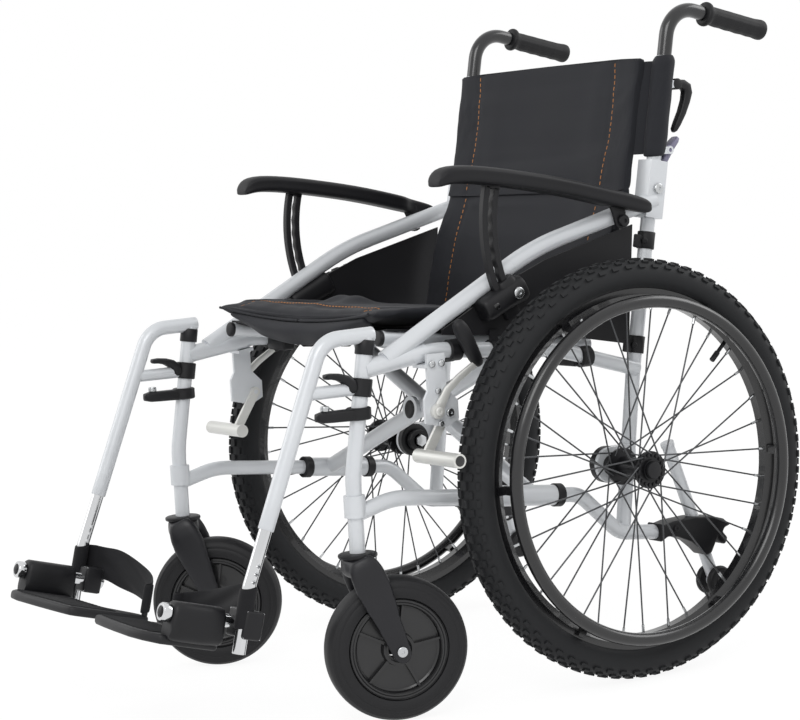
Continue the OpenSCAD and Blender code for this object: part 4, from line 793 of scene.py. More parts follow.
def stitched(path, target, facing):  # row of short thread bars laid along a path on a piece
    points, faces = [], []
    run = 0.0
    spots = []
    for a, b in zip(path, path[1:]):
        length = (b - a).length
        while run < length:
            spots.append((a + (b - a) * (run / length), (b - a).normalized()))
            run += stitchForm["pitch"] / 1000
        run -= length
    for place, along in spots:
        hit, at, normal, _ = target.ray_cast(place - facing * 0.08, facing)
        if not hit:
            continue
        along = (along - normal * along.dot(normal)).normalized()
        across = normal.cross(along)
        base = len(points)
        l, w, h = stitchForm["length"] / 2000, stitchForm["half"] / 1000, stitchForm["proud"] / 1000
        for q, d in ((-1, -0.4), (-0.6, 1), (0.6, 1), (1, -0.4)):
            for s in (-1, 1):
                points.append(at + along * (l * q) + across * (w * s) + normal * (h * d))
        for i in range(3):
            faces.append((base + 2 * i, base + 2 * i + 1, base + 2 * i + 3, base + 2 * i + 2))
        faces += [(base, base + 2, base + 4, base + 6), (base + 7, base + 5, base + 3, base + 1),
                  (base + 6, base + 7, base + 1, base)]
    return shaped(points, [], faces)


rearward, downward = Vector((0, 1, 0)), Vector((0, 0, -1))
# points at the back cane and the seat rail, kept beside each soft piece; nothing here moves the pieces
# towards them
coverAnchor, seatAnchor = (caneX / 1000, 0, 0), (-railX / 1000, 0, 0)
soft = []
for name, body, low, high in (("upper", "left_back", 716, 901), ("lower", "left_frame", 520, 704)):
    lines = [stitched([spot(x + 3 * math.sin(z / 40), backY(z) - 60, z) for z in range(low, high, 5)],
                      coverPieces[name], rearward) for x in (-coverForm["seamX"], coverForm["seamX"])]
    soft.append((settle(united(lines), name + "BackStitches", body, "thread", (), 30),
                 coverAnchor))
rows = []
for u in seatForm["channels"]:
    x = u * seatForm["half"] * 0.985
    rows.append(stitched([foldSpot(x + math.copysign(2, u) * math.sin(y / 60), y, 330)
                          for y in range(-236, 112, 6)], pad, downward))
rows.append(stitched([foldSpot(x, seatForm["front"] + seatForm["frontSeam"], 330)
                      for x in range(-178, 179, 6)], pad, downward))
soft.append((settle(united(rows), "seatStitches", "seat", "thread", (), 30),
             seatAnchor))

# front of the seat cover, hanging between the rails, with its piped edge
flapForm = {"half": 198, "ahead": -236, "top": 249, "fall": 15, "drop": 18, "thick": 3.2, "cols": 60,
            "rows": 10, "bulge": 7, "piping": 2.0}


def flapPoint(u, t, depth):  # u across, t down
    x = flapForm["half"] * u
    swing = 2.6 * math.sin(u * 7.0 + t * 1.6) * t + 1.6 * math.sin(u * 15 + 0.7) * t * t
    bulge = flapForm["bulge"] * math.sin(math.pi * min(1, t * 1.15))
    y = flapForm["ahead"] - bulge + 9 * t * t + swing + depth
    hang = flapForm["fall"] + flapForm["drop"] * (1 - u * u)
    return foldSpot(x, y, flapForm["top"] - seatSag(0) * (1 - u * u) - hang * t)


rings = []
for i in range(flapForm["cols"] + 1):
    u = -1 + 2 * i / flapForm["cols"]
    front = [flapPoint(u, k / flapForm["rows"], 0) for k in range(flapForm["rows"] + 1)]
    behind = [flapPoint(u, k / flapForm["rows"], flapForm["thick"]) for k in range(flapForm["rows"], -1, -1)]
    rings.append(front + behind)
flap = lofted(rings)
smoothed(flap, 1)
settle(flap, "seatFrontFlap", "seat", "cloth", (), 60)
edgePath = [foldSpot(seatForm["half"] * u, seatForm["front"] + 8 * (1 - u * u) - 1.4 - 6 * abs(u) ** 6,
                     seatForm["low"] + seatForm["thick"] * 0.45 - seatSag(0) * (1 - u * u))
            for u in (-1 + 2 * i / 60 for i in range(61))]
piping = swept(edgePath, [(flapForm["piping"], flapForm["piping"])] * len(edgePath), 10)
settle(piping, "seatPiping", "seat", "cloth", (), 60)
soft += [(flap, seatAnchor), (piping, seatAnchor), (coverPieces["upper"], coverAnchor),
         (coverPieces["lower"], coverAnchor), (pad, seatAnchor), (sling, seatAnchor)]
for piece, anchor in soft:
    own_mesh(piece)
print("seat and back done")


# arm rests: skinned pad on an ear and a slotted post

armForm = {"x": 279, "half": 22, "tall": 13, "cols": 48, "edge": 0.46, "pivot": (38, 661), "postR": 236,
           "postHalf": 12.5, "postThick": 5.6,
           # y, z, thickness share, width share
           "line": [(-285.5, 731, 0.06, 1), (-285, 732.5, 0.34, 1), (-282.5, 735, 0.62, 1),
                    (-277, 739, 0.86, 1), (-268, 742.4, 0.97, 1), (-250, 743.6, 1, 1),
                    (-226, 742, 1, 1), (-196, 738.5, 1, 1), (-166, 734, 1, 1), (-124, 727, 1, 1),
                    (-80, 719, 1, 1), (-34, 708.5, 1, 1), (6, 698.4, 1, 1),
                    (20, 695, 0.98, 0.72), (32, 692, 0.96, 0.1), (62, 684, 0.92, 0.1),
                    (76, 680.4, 0.82, 0.1), (82, 678.8, 0.6, 0.1), (84.5, 678, 0.2, 0.1)],
           "seam": 0.9, "slotLow": -26, "slotHigh": 15, "slotHalf": 3.6, "postLow": -31, "postTop": 19.5,
           "scallop": 1.3, "notchPitch": 5.2,
           "ear": [(39, 649.6, 2.2, 3), (38.8, 651, 3.4, 8), (38, 657, 3.8, 11), (37, 664, 3.8, 11.4),
                   (34, 676, 3.8, 11.8), (30, 690, 3.8, 14)]}


def armPost(theta, wide):  # point in the arm's side plane, wide measured outward from the pivot
    a = math.radians(theta)
    r = armForm["postR"] + wide
    return armForm["pivot"][0] - r * math.cos(a), armForm["pivot"][1] + r * math.sin(a)


def postBar(angles, inner, outer):  # curved flat bar between two radial edges
    rings = []
    for theta in angles:
        y0, z0 = armPost(theta, inner(theta))
        y1, z1 = armPost(theta, outer(theta))
        t = armForm["postThick"]
        rings.append([spot(armForm["x"] + x, y0 + (y1 - y0) * w, z0 + (z1 - z0) * w)
                      for x, w in ((-t, 0.1), (-t * 0.8, 0), (t * 0.8, 0), (t, 0.1), (t, 0.9), (t * 0.8, 1),
                                   (-t * 0.8, 1), (-t, 0.9))])
    return lofted(rings)


for side in sides:
    rings = []
    for y, z, thick, wide in armForm["line"]:
        centre = armForm["x"] + armForm["half"] / 2 * (1 - wide)
        half = armForm["half"] / 2 * (1 + wide) * (0.5 + thick / 2)
        made = []
        for k in range(armForm["cols"]):
            a = 2 * math.pi * k / armForm["cols"]
            c, s = signedPower(math.cos(a), armForm["edge"]), signedPower(math.sin(a), armForm["edge"])
            seam = armForm["seam"] * math.exp(-((s + 0.12) / 0.16) ** 2) * (abs(c) > 0.8)
            crown = 1 - 0.16 * c * c if s > 0 else 1
            made.append(spot(centre + (half - seam) * c, y, z + armForm["tall"] * thick * s * crown))
        rings.append(made)
    armPad = lofted(rings)
    smoothed(armPad, 1)
    settle(armPad, side + "ArmPad", side + "_arm", "padFoam", (side + "_arm_rest",), 60, side)
    solid, slotted = armForm["postHalf"], armForm["slotHalf"]
    angles = [armForm["slotLow"] + i * (armForm["slotHigh"] - armForm["slotLow"]) / 80 for i in range(81)]
    def notch(th):  # scalloped edge of the slot
        wave = math.cos(math.radians((th - armForm["slotLow"]) * 360 / armForm["notchPitch"]))
        return slotted - armForm["scallop"] * (0.5 + 0.5 * wave)
    post = [postBar(angles, lambda th: slotted - 0.2, lambda th: solid),
            postBar(angles, lambda th: -solid, lambda th: -notch(th)),
            postBar([armForm["postLow"] + i * (armForm["slotLow"] + 0.4 - armForm["postLow"]) / 8
                     for i in range(9)], lambda th: -solid, lambda th: solid),
            postBar([armForm["slotHigh"] - 0.4 + i * (armForm["postTop"] - armForm["slotHigh"] + 0.4) / 6
                     for i in range(7)], lambda th: -solid, lambda th: solid)]
    post.append(bar(armForm["x"], armForm["ear"], 24, 0.7))
    settle(united(post), side + "ArmPost", side + "_arm", "blackPlastic", (), 35, side)
print("arms done")


# black mouldings on the frame

bracketForm = {"y": -177.6, "z": 565, "slope": 24, "x": 271, "halfX": 23,
               "rings": [(-42, 0.70, 0.84), (-40, 0.92, 0.94), (-36, 1, 1), (-20, 1.02, 1), (0, 1.03, 1),
                         (14, 1.08, 1.0), (24, 1.16, 1.02), (31, 1.18, 1.02),
                         (35, 1.05, 0.98), (36.5, 0.84, 0.86)], "tall": 17.5,
               # along and off the tube, half width, half height
               "lugX": 279, "lug": [(12, 8, 12, 16), (12, 15, 11.5, 16), (11, 20, 10.5, 15),
                                    (10.5, 24, 8, 13.5)],
               "boltX": 293.5, "boltAt": 16, "pivotX": 284.5, "slotX": 293.9,
               "slot": [(-29, 0.5, 2), (-27.6, 0.7, 4.4), (-21.4, 0.7, 4.4), (-20, 0.5, 2)]}
houseForm = {"half": 17, "bevel": 4.5, "bolt": (279, 112, 196),
             "outline": [(83, 207), (92, 203.5), (108, 206.5), (150, 208), (186, 204), (206, 198),
                         (220, 187), (208, 184), (204, 178), (213, 168), (207, 158),
                         (198, 162), (193, 171), (187, 161), (180, 149), (170, 146), (158, 158), (142, 171),
                         (116, 182), (98, 185), (83, 178)]}
catchForm = {"z": 426, "boltAhead": 53, "boltZ": (434, 441),
             "collar": [(11.2, -8.5), (15.5, -8.5), (17.5, -7), (17.5, 7), (15.5, 8.5), (11.2, 8.5)],
             # ahead of the post, half width, half height
             "tongue": [(12, 12, 8.2), (20, 11, 8.2), (44, 10, 8), (58, 9.6, 7.6), (66, 7, 5.6),
                        (68, 3, 2.6)]}
restForm = {"places": ((-258, 498.2, 509.3), (-30, 467.2, 483.4)), "x": 228, "below": 12,
            "hook": (52, 22, 22),
            "wrap": [(11.3, -10), (14, -10), (15.4, -8.6), (15.4, 8.6), (14, 10), (11.3, 10)]}
bandForm = {"heights": (628, 475), "screw": (9.6, -9.2), "screwWay": (0.72, -0.69, 0), "tailX": 258,
            "tailBack": 17, "tail": (5, 18, 20),
            "profile": [(11, -13), (12.6, -13), (13.2, -12), (13.2, 12), (12.6, 13), (11, 13)]}
receiverForm = [(243, 11), (243, 16.5), (247, 17.5), (249, 15.2), (253, 17.2), (255, 15), (259, 16.8),
                (262, 15), (279, 15), (281, 17.4), (286, 17.4), (289, 16), (291, 14),
                (291, 8)]


def postY(z):
    return postForm["foot"] + max(0, z - postForm["bendZ"]) * math.tan(math.radians(postForm["rake"]))


for side in sides:
    c, s = math.cos(math.radians(bracketForm["slope"])), math.sin(math.radians(bracketForm["slope"]))
    upward = Vector((0, -s, c))
    rings = []
    for along, tall, wide in bracketForm["rings"]:
        centre = spot(bracketForm["x"], bracketForm["y"] + along * c, bracketForm["z"] + along * s)
        rings.append(ring(centre, outX, upward, bracketForm["halfX"] * wide / 1000,
                          bracketForm["tall"] * tall / 1000, 36, 0.62))
    bracket = lofted(rings)
    smoothed(bracket, 1)
    lug = bar(bracketForm["lugX"], [(bracketForm["y"] + d * c - e * s, bracketForm["z"] + d * s + e * c, w, h)
                                    for d, e, w, h in bracketForm["lug"]], 24, 0.6)
    settle(united([bracket, lug]), side + "ArmClamp", side + "_frame", "blackPlastic",
           (side + "_frame_fittings",), 50, side)
    head = bolt(spot(bracketForm["boltX"], bracketForm["y"] + bracketForm["boltAt"] * c,
                     bracketForm["z"] + bracketForm["boltAt"] * s), outX, 8.5, 5)
    pivotHead = bolt(spot(bracketForm["pivotX"], *armForm["pivot"]), outX, 9, 5)
    settle(head, side + "ClampBolt", side + "_frame", "brightSteel", (), 40, side)
    settle(pivotHead, side + "ArmPivotBolt", side + "_frame", "blackPlastic", (), 40, side)
    # painted shade: a thin gloss black strip on the clamp face stands in for the shaded hollow of its slot
    slotShadeStrip = bar(bracketForm["slotX"], [(bracketForm["y"] + d * c, bracketForm["z"] + d * s, w, h)
                                          for d, w, h in bracketForm["slot"]])
    settle(slotShadeStrip, side + "ClampSlotShade", side + "_frame", "rimCoat", (), 40, side)

    face = [spot(tubeX, y, z) for y, z in houseForm["outline"]]
    housing = shaped([p + Vector((x * houseForm["half"] / 1000, 0, 0)) for x in (-1, 1) for p in face], [],
                     [tuple(range(len(face))), tuple(range(2 * len(face) - 1, len(face) - 1, -1))]
                     + [(i, len(face) + i, len(face) + (i + 1) % len(face), (i + 1) % len(face))
                        for i in range(len(face))])
    rounded(housing, houseForm["bevel"], 4, 25)
    settle(united([housing, bolt(spot(*houseForm["bolt"]), outX, 5, 2.5)]), side + "AntiTipHousing",
           side + "_frame", "blackPlastic", (), 45, side)

    catchY = postY(catchForm["z"])
    collar = spun([spot(tubeX + r, catchY, catchForm["z"] + h) for r, h in catchForm["collar"]],
                  spot(tubeX, catchY, catchForm["z"]), (0, 0, 1), 40)
    tongue = bar(tubeX, [(catchY - d, catchForm["z"] - 1 + d * 0.02, w, h)
                         for d, w, h in catchForm["tongue"]], 24, 0.5)
    settle(united([collar, tongue]), side + "LegCatch", side + "_frame", "blackPlastic", (),
           40, side)

    receiver = spun([spot(x, 0, hubZ + r) for x, r in receiverForm], spot(tubeX, 0, hubZ), (1, 0, 0), 48)
    settle(receiver, side + "AxleReceiver", side + "_frame", "blackPlastic", (), 35, side)

    # seat rail rests on the upper rail
    for i, (y, upperZ, restZ) in enumerate(restForm["places"]):
        hook = block(spot(restForm["x"], y, (upperZ + restZ) / 2 - restForm["below"]), restForm["hook"])
        rounded(hook, 4, 3)
        wrap = spun([spot(tubeX + r, y + d, upperZ) for r, d in restForm["wrap"]], spot(tubeX, y, upperZ),
                    (0, 1, 0), 36)
        settle(united([hook, wrap]), side + "RailRest" + str(i + 1), side + "_frame", "blackPlastic",
               (), 40, side)

    # clip bands that hold the guard to the rear post
    lean = math.radians(backForm["tilt"])
    for i, z in enumerate(bandForm["heights"]):
        band = spun([spot(caneX + r, backY(z), z + h) for r, h in bandForm["profile"]],
                    spot(caneX, backY(z), z), Vector((0, math.sin(lean), math.cos(lean))), 36)
        screw = bolt(spot(caneX + bandForm["screw"][0], backY(z) + bandForm["screw"][1], z),
                     Vector(bandForm["screwWay"]).normalized(), 4.4, 2.6)
        tail = block(spot(bandForm["tailX"], backY(z) - bandForm["tailBack"], z), bandForm["tail"],
                     (-lean, 0, 0))
        rounded(tail, 2, 2)
        settle(united([band, screw, tail]), side + "GuardBand" + str(i + 1), side + "_frame", "blackPlastic",
               (), 40, side)
print("mouldings done")


# push handles with ridged grips, clamp and release levers

handleForm = {"path": [(155.4, 900), (170.6, 978), (352, 935)], "bend": 46, "radius": 11,
              "gripLength": 118,
              # share along the grip, radius, underside bump
              "grip": [(-0.03, 11.2, 0), (-0.025, 17.5, 0), (0.0, 19, 0), (0.03, 19, 0), (0.055, 17.4, 0),
                       (0.075, 14.4, 0), (0.11, 14.2, 0), (0.2, 14.6, 1.6), (0.29, 14.2, 0),
                       (0.38, 14.7, 1.8), (0.47, 14.2, 0), (0.56, 14.7, 1.8), (0.65, 14.2, 0),
                       (0.74, 14.7, 1.6), (0.82, 14.3, 0), (0.9, 15.6, 0.4), (0.955, 16, 0), (0.985, 14.6, 0),
                       (0.998, 11, 0), (1.0, 5, 0)]}
leverForm = {"clamp": [(166, 857, 8, 6.4), (176, 858, 8, 7), (187, 857, 7.8, 7.6), (193.5, 853, 7.6, 8.4),
                       (195, 845, 7.4, 8), (191, 832, 7.2, 6.8), (183, 815, 7, 6), (173, 799, 6.8, 5.2),
                       (167, 790, 5.5, 4.2), (165, 787, 3, 2)],
             "paddle": [(140, 737, 6, 3), (143, 744, 8, 4.6), (147, 752, 8.6, 6.4), (152, 759, 8.8, 6),
                        (158, 766, 9.6, 5.4), (165, 773, 10, 4.6), (169, 777.5, 8, 3.4),
                        (170.5, 779, 4, 1.6)],
             "camX": (240.6, 267.4), "camAt": (169.2, 858), "camR": 8.4,
             "hubX": (241, 267), "hubAt": (147.2, 760), "hubR": 7.4}


def filleted(points, radius, steps=14):  # side view path with its middle corner rounded
    a, b, c = (Vector(p) for p in points)
    u, w = (a - b).normalized(), (c - b).normalized()
    half = u.angle(w) / 2
    cut = radius / math.tan(half)
    middle = b + (u + w).normalized() * (radius / math.sin(half))
    first, last = b + u * cut, b + w * cut
    out = [a.lerp(first, i / 6) for i in range(6)]
    p, q = first - middle, last - middle
    total = p.angle(q)
    for i in range(steps + 1):
        t = i / steps
        out.append(middle + (p * math.sin((1 - t) * total) + q * math.sin(t * total)) / math.sin(total))
    return out + [last.lerp(c, i / 6) for i in range(1, 7)]


for side in sides:
    route = filleted(handleForm["path"], handleForm["bend"])
    tube = swept([spot(caneX, y, z) for y, z in route],
                 [(handleForm["radius"], handleForm["radius"])] * len(route), 32)
    settle(tube, side + "HandleTube", side + "_handle", "handleTube",
           (side + "_push_handle",), 45, side)
    tip, knee = Vector(handleForm["path"][2]), Vector(handleForm["path"][1])
    along = (tip - knee).normalized()
    start = tip - along * handleForm["gripLength"]
    rings = []
    for share, radius, bump in handleForm["grip"]:
        at = start + along * (handleForm["gripLength"] * share)
        centre = spot(caneX, at.x, at.y)
        lift = Vector((0, -along.y, along.x))
        if lift.z < 0:
            lift = -lift
        made = []
        for k in range(36):
            a = 2 * math.pi * k / 36
            ridge = 0.35 * math.cos(a * 12) if 0.08 < share < 0.88 else 0
            r = radius + bump * max(0.0, -math.sin(a)) ** 2 + ridge
            made.append(centre + outX * (r * math.cos(a) / 1000) + lift * (r * math.sin(a) / 1000))
        rings.append(made)
    grip = lofted(rings)
    smoothed(grip, 1)
    settle(grip, side + "HandGrip", side + "_handle", "gripRubber", (), 50, side)

    clampLever = bar(caneX, leverForm["clamp"], 20, 0.6)
    cam = barrel(*(spot(x, *leverForm["camAt"]) for x in leverForm["camX"]), leverForm["camR"], 32, 1.6)
    settle(united([clampLever, cam]), side + "CamLever", side + "_clamp", "blackPlastic",
           (side + "_handle_clamp_lever",), 45, side)
    paddle = bar(caneX, leverForm["paddle"], 24, 0.66)
    hub = barrel(*(spot(x, *leverForm["hubAt"]) for x in leverForm["hubX"]), leverForm["hubR"], 32, 1.4)
    settle(united([paddle, hub]), side + "ReleasePaddle", side + "_release", "leverGrey",
           (side + "_back_release_lever",), 50, side)
print("handles done")


# foot plates and heel loops

plateForm = {"x": 238, "y": -606, "z": 164, "toe": 16, "low": -42, "top": -29, "bevel": 4,
             "outline": [(4, -30), (-120, -30), (-128, -27), (-160, 5), (-168, 9), (-192, 9), (-199, 6),
                         (-200, -2), (-200, -108), (-196, -117), (-184, -121), (-150, -127),
                         (-110, -132), (-52, -137), (-22, -132), (4, -116)],
             # y, z, half width, half height
             "sleeve": [(-29.5, -9, 12, 20), (-31, -9, 15, 24), (-35, -9.4, 17, 26), (-60, -9.8, 17.4, 26.4),
                        (-84, -9.8, 17.4, 26.4), (-103, -9.4, 17, 26), (-107, -9, 15, 24),
                        (-108.5, -9, 12, 20)],
             # radius, y
             "pivotEnd": [(9.6, -110), (12.2, -110.4), (12.6, -113), (12.6, -119), (11.6, -121),
                          (8.2, -121.4), (7.6, -119.8), (0, -119.6)],
             "pivotPlug": [(7.4, -119.2), (7.2, -121.8), (5.8, -123), (0, -123.4)],
             "post": (-192, 2), "postR": 4.4,
             "ribs": 15, "ribHalf": 1.5, "ribTall": 1.6, "ribFrom": -186, "ribTo": -22}


def plateSpot(x, y, z):
    c, s = math.cos(math.radians(plateForm["toe"])), math.sin(math.radians(plateForm["toe"]))
    return spot(plateForm["x"] + x, plateForm["y"] + y * c + z * s, plateForm["z"] - y * s + z * c)


def plateFront(x):  # front edge of the plate at x
    edge = plateForm["outline"]
    for (x0, y0), (x1, y1) in zip(edge[3:], edge[4:]):
        if x0 <= x <= x1 and x1 > x0:
            return y0 + (y1 - y0) * (x - x0) / (x1 - x0)
    return -150


loopForm = {"tall": 26, "thick": 1.7, "tube": (tubeX, -610, 188), "tubeR": 11.4, "post": (46, -605.5, 160),
            "postR": 6.4, "lean": 0.26,
            "points": [(250, -593, 188), (236, -586, 187), (212, -580, 185), (184, -576, 180),
                       (150, -574, 174), (116, -576, 168), (86, -582, 164), (62, -592, 161), (53, -599, 160)]}


def curveThrough(points, each=6):  # smooth path through points
    out = []
    for i in range(len(points) - 1):
        p0, p1, p2, p3 = points[max(0, i - 1)], points[i], points[i + 1], points[min(len(points) - 1, i + 2)]
        for k in range(each):
            t = k / each
            out.append(0.5 * ((2 * p1) + (p2 - p0) * t + (2 * p0 - 5 * p1 + 4 * p2 - p3) * t * t
                              + (3 * p1 - p0 - 3 * p2 + p3) * t ** 3))
    return out + [points[-1]]


for side in sides:
    edge = plateForm["outline"]
    n = len(edge)
    slab = shaped([plateSpot(x, y, z) for z in (plateForm["low"], plateForm["top"]) for x, y in edge], [],
                  [tuple(range(n)), tuple(range(2 * n - 1, n - 1, -1))]
                  + [(i, n + i, n + (i + 1) % n, (i + 1) % n) for i in range(n)])
    rounded(slab, plateForm["bevel"], 3, 30)
    parts = [slab]
    for k in range(plateForm["ribs"]):
        x = plateForm["ribFrom"] + (plateForm["ribTo"] - plateForm["ribFrom"]) * k / (plateForm["ribs"] - 1)
        path = [plateSpot(x, y, plateForm["top"] + 0.2)
                for y in (plateFront(x) + 8, plateFront(x) + 11, -44, -41)]
        w, t = plateForm["ribHalf"], plateForm["ribTall"]
        parts.append(swept(path, [(w * 0.5, t * 0.3), (w, t), (w, t), (w * 0.5, t * 0.3)], 8))
    parts.append(barrel(plateSpot(*plateForm["post"], plateForm["top"] - 4),
                        plateSpot(*plateForm["post"], 2), plateForm["postR"], 20, 1.2))
    settle(united(parts), side + "FootPlate", side + "_plate", "platePlastic",
           (side + "_footplate",), 38, side)
    sleeve = swept([plateSpot(0, y, z) for y, z, *rest in plateForm["sleeve"]],
                   [row[2:] for row in plateForm["sleeve"]], 36, 0.62)
    settle(sleeve, side + "PlateSleeve", side + "_plate", "blackPlastic", (), 45, side)
    hinge = plateSpot(0, 1000, 0) - plateSpot(0, 0, 0)
    plug = spun([plateSpot(r, y, 0) for r, y in plateForm["pivotEnd"]], plateSpot(0, -111, 0), hinge, 40)
    settle(plug, side + "PivotEnd", side + "_leg_ext", "chromeTube", (), 35, side)
    stopper = spun([plateSpot(r, y, 0) for r, y in plateForm["pivotPlug"]], plateSpot(0, -120, 0), hinge, 32)
    settle(stopper, side + "PivotPlug", side + "_leg_ext", "blackPlastic", (), 40, side)

    # band round the leg tube, behind the heel, round the plate's post
    (tx, ty, tz), (px, py, pz) = loopForm["tube"], loopForm["post"]
    path = [Vector((tx + loopForm["tubeR"] * math.cos(math.radians(a)),
                    ty + loopForm["tubeR"] * math.sin(math.radians(a)), tz)) for a in range(150, 441, 15)]
    path += curveThrough([Vector(p) for p in loopForm["points"]])
    path += [Vector((px + loopForm["postR"] * math.cos(math.radians(a)),
                     py + loopForm["postR"] * math.sin(math.radians(a)), pz)) for a in range(10, -231, -20)]
    rings = []
    for i, p in enumerate(path):
        run = (path[min(i + 1, len(path) - 1)] - path[max(i - 1, 0)]).normalized()
        out = Vector((run.y, -run.x, 0)).normalized()
        t = i / (len(path) - 1)
        gather = 1 - 0.10 * math.exp(-((t - 0.34) / 0.10) ** 2) - 0.24 * ease((t - 0.45) / 0.3)
        loose = math.sin(math.pi * min(1, max(0, (t - 0.25) / 0.55)))
        made = []
        for h, face in [(h, 1) for h in range(9)] + [(h, -1) for h in range(8, -1, -1)]:
            v = h / 4 - 1
            ripple = 2.4 * math.sin(v * 5 + t * 23) * loose * (1 - 0.4 * abs(v))
            tall = v * loopForm["tall"] * gather
            made.append(p + Vector((0, tall * loopForm["lean"], tall))
                        + out * (face * loopForm["thick"] / 2 + ripple))
        rings.append([spot(*q) for q in made])
    band = lofted(rings)
    smoothed(band, 1)
    settle(band, side + "HeelLoop", None, "webbing", (side + "_heel_loop",), 60, side)
    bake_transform(band)
print("foot plates done")


# brake lever, brace caps, anti-tip wheels

brakeForm = {"x": 287.8, "pivot": (-306, 418), "bossX": (283.6, 291.4), "bossR": 10.4, "boltX": 291.2,
             # y, z, half width, half height
             "strip": [(-306, 418, 3, 8.6), (-297, 432, 3, 7), (-288, 446, 3, 6), (-268, 461, 3, 5.4),
                       (-246, 474, 3, 5), (-236, 480, 3, 4.6)],
             "grip": [(-231, 474, 4, 4), (-233.5, 478.5, 7.6, 7.6), (-239, 487, 9, 9.4),
                      (-248, 505, 9.6, 10.6), (-257, 523, 10.2, 11.6), (-264.5, 537, 8.6, 9.6),
                      (-267, 541, 4, 4.4)],
             # y, z, radius
             "plateX": 284.6, "plateBolts": [(-284, 414, 6.4), (-310, 484, 5), (-294, 484, 5),
                                             (-302, 446, 4.6), (-300, 400, 4.6)],
             "shoeX": (360.6, 361.4), "shoe": (-322, 356), "shoeR": 7.4}
braceForm = {"mid": 108.3, "offset": 14, "tube": 12.5, "capR": 15, "ringY": (-58, 58),
             "ring": [(11.3, -7), (15.8, -7), (17, -5.6), (17, 5.6), (15.8, 7), (11.3, 7)]}
tipForm = {"y": 194, "z": 104,
           "wheel": [(7.4, 4.2), (9, 6.5), (8, 8), (8, 14), (9, 16), (8.2, 17.2), (8.4, 20), (10.4, 22.4),
                     (13.4, 23), (16.2, 22.2), (18.4, 20), (18.6, 16), (17.4, 15), (16.6, 8),
                     (18.4, 6.4), (18.6, 4.2)]}
for side in sides:
    strip = bar(brakeForm["x"], brakeForm["strip"], 16, 0.6)
    boss = barrel(*(spot(x, *brakeForm["pivot"]) for x in brakeForm["bossX"]), brakeForm["bossR"], 36, 1.2)
    head = bolt(spot(brakeForm["boltX"], *brakeForm["pivot"]), outX, 6.6, 4.4)
    settle(united([strip, boss, head]), side + "BrakeStrip", side + "_brake", "leverPaint",
           (side + "_brake_lever",), 40, side)
    knob = bar(brakeForm["x"], brakeForm["grip"], 28, 0.72)
    smoothed(knob, 1)
    settle(knob, side + "BrakeGrip", side + "_brake", "blackPlastic", (), 60, side)
    plateBolts = [bolt(spot(brakeForm["plateX"], y, z), outX, r, 4) for y, z, r in brakeForm["plateBolts"]]
    settle(united(plateBolts), side + "BrakeBolts", side + "_frame", "brightSteel", (), 40,
           side)
    ending = barrel(*(spot(x, *brakeForm["shoe"]) for x in brakeForm["shoeX"]), brakeForm["shoeR"], 28, 0.2)
    settle(ending, side + "ShoePlug", side + "_shoe", "rimCoat", (), 40, side)
    wheels = []
    for s in (-1, 1):
        outline = [spot(tubeX + s * x, tipForm["y"], tipForm["z"] + r) for x, r in tipForm["wheel"]]
        wheels.append(spun(outline + [outline[0]], spot(tubeX, tipForm["y"], tipForm["z"]), (1, 0, 0), 48))
    settle(united(wheels), side + "AntiTipWheels", side + "_tip_wheel", "castorRubber",
           (side + "_antitip_wheel",), 35, side)

seatLine = foldSpot(0, 1000, 0) - foldSpot(0, 0, 0)
caps = []
for s in (-1, 1):
    face = s * (braceForm["offset"] + braceForm["tube"] + 0.4)
    rings = [(face, braceForm["capR"] - 1), (face + s * 1, braceForm["capR"]),
             (face + s * 5, braceForm["capR"]), (face + s * 7, braceForm["capR"] - 3), (face + s * 7.6, 9),
             (face + s * 6.8, 7), (face + s * 6.8, 0)]
    caps.append(spun([foldSpot(r, y, braceForm["mid"]) for y, r in rings], foldSpot(0, 0, braceForm["mid"]),
                     seatLine, 40))
settle(united(caps), "braceCaps", "brace_front", "blackPlastic", (), 35)
for body, s in (("brace_rear", 1), ("brace_front", -1)):
    collars = []
    for y in braceForm["ringY"]:
        collars.append(spun([foldSpot(s * (tubeX + r), y + d, 0) for r, d in braceForm["ring"]],
                            foldSpot(s * tubeX, 0, 0), seatLine, 36))
    settle(united(collars), body.replace("brace_", "") + "SleeveRings", body, "blackPlastic",
           (), 35)
print("brake and brace done")


# steel bolts, leg rest latch, end caps

latchForm = {"lever": [(-469, 479.5, 4, 2), (-466.5, 480.4, 8.4, 3.6), (-458, 480.5, 9, 4.2),
                       (-447, 478.6, 9.6, 5), (-437, 474.5, 10.4, 6.4), (-430, 468, 11.4, 8),
                       (-428, 460, 11.4, 9), (-428.5, 455, 8, 5)],
             "collar": [(11.2, -12.5), (14, -12.5), (15.2, -11.2), (15.2, 11.2), (14, 12.5), (11.2, 12.5)],
             "collarZ": 461}
hangerForm = {"topZ": 532, "pastPost": 10, "knee": (-470, 530), "low": (-573, 286), "bend": 42, "radius": 11,
              "stubR": 9, "stubZ": 460, "stubFrom": -499.5, "neck": (504, 530)}
socketForm = {"x": (-13, 37.6), "y": (-14.2, 14.2), "z": (-19.2, 19.2), "bevel": 4}
bossForm = [(257.2, 15.3), (256.6, 16.4), (256.6, 24.6), (258, 26.8), (268, 26.8), (268, 25.6),
            (259.4, 25.6), (259.4, 15.3)]
capForm = {"postTop": 517, "railFront": -226, "railLift": 219, "plugR": 11.3,
           "ring": [(11.2, -12), (12.6, -12), (13.2, -11), (13.2, 7), (12.4, 8.4), (11.2, 8.4)]}
axleForm = {"capLong": 7, "capR": 12.5, "nutX": (236, 243), "nutR": 10, "hingeZ": 704, "hingeOut": 16}
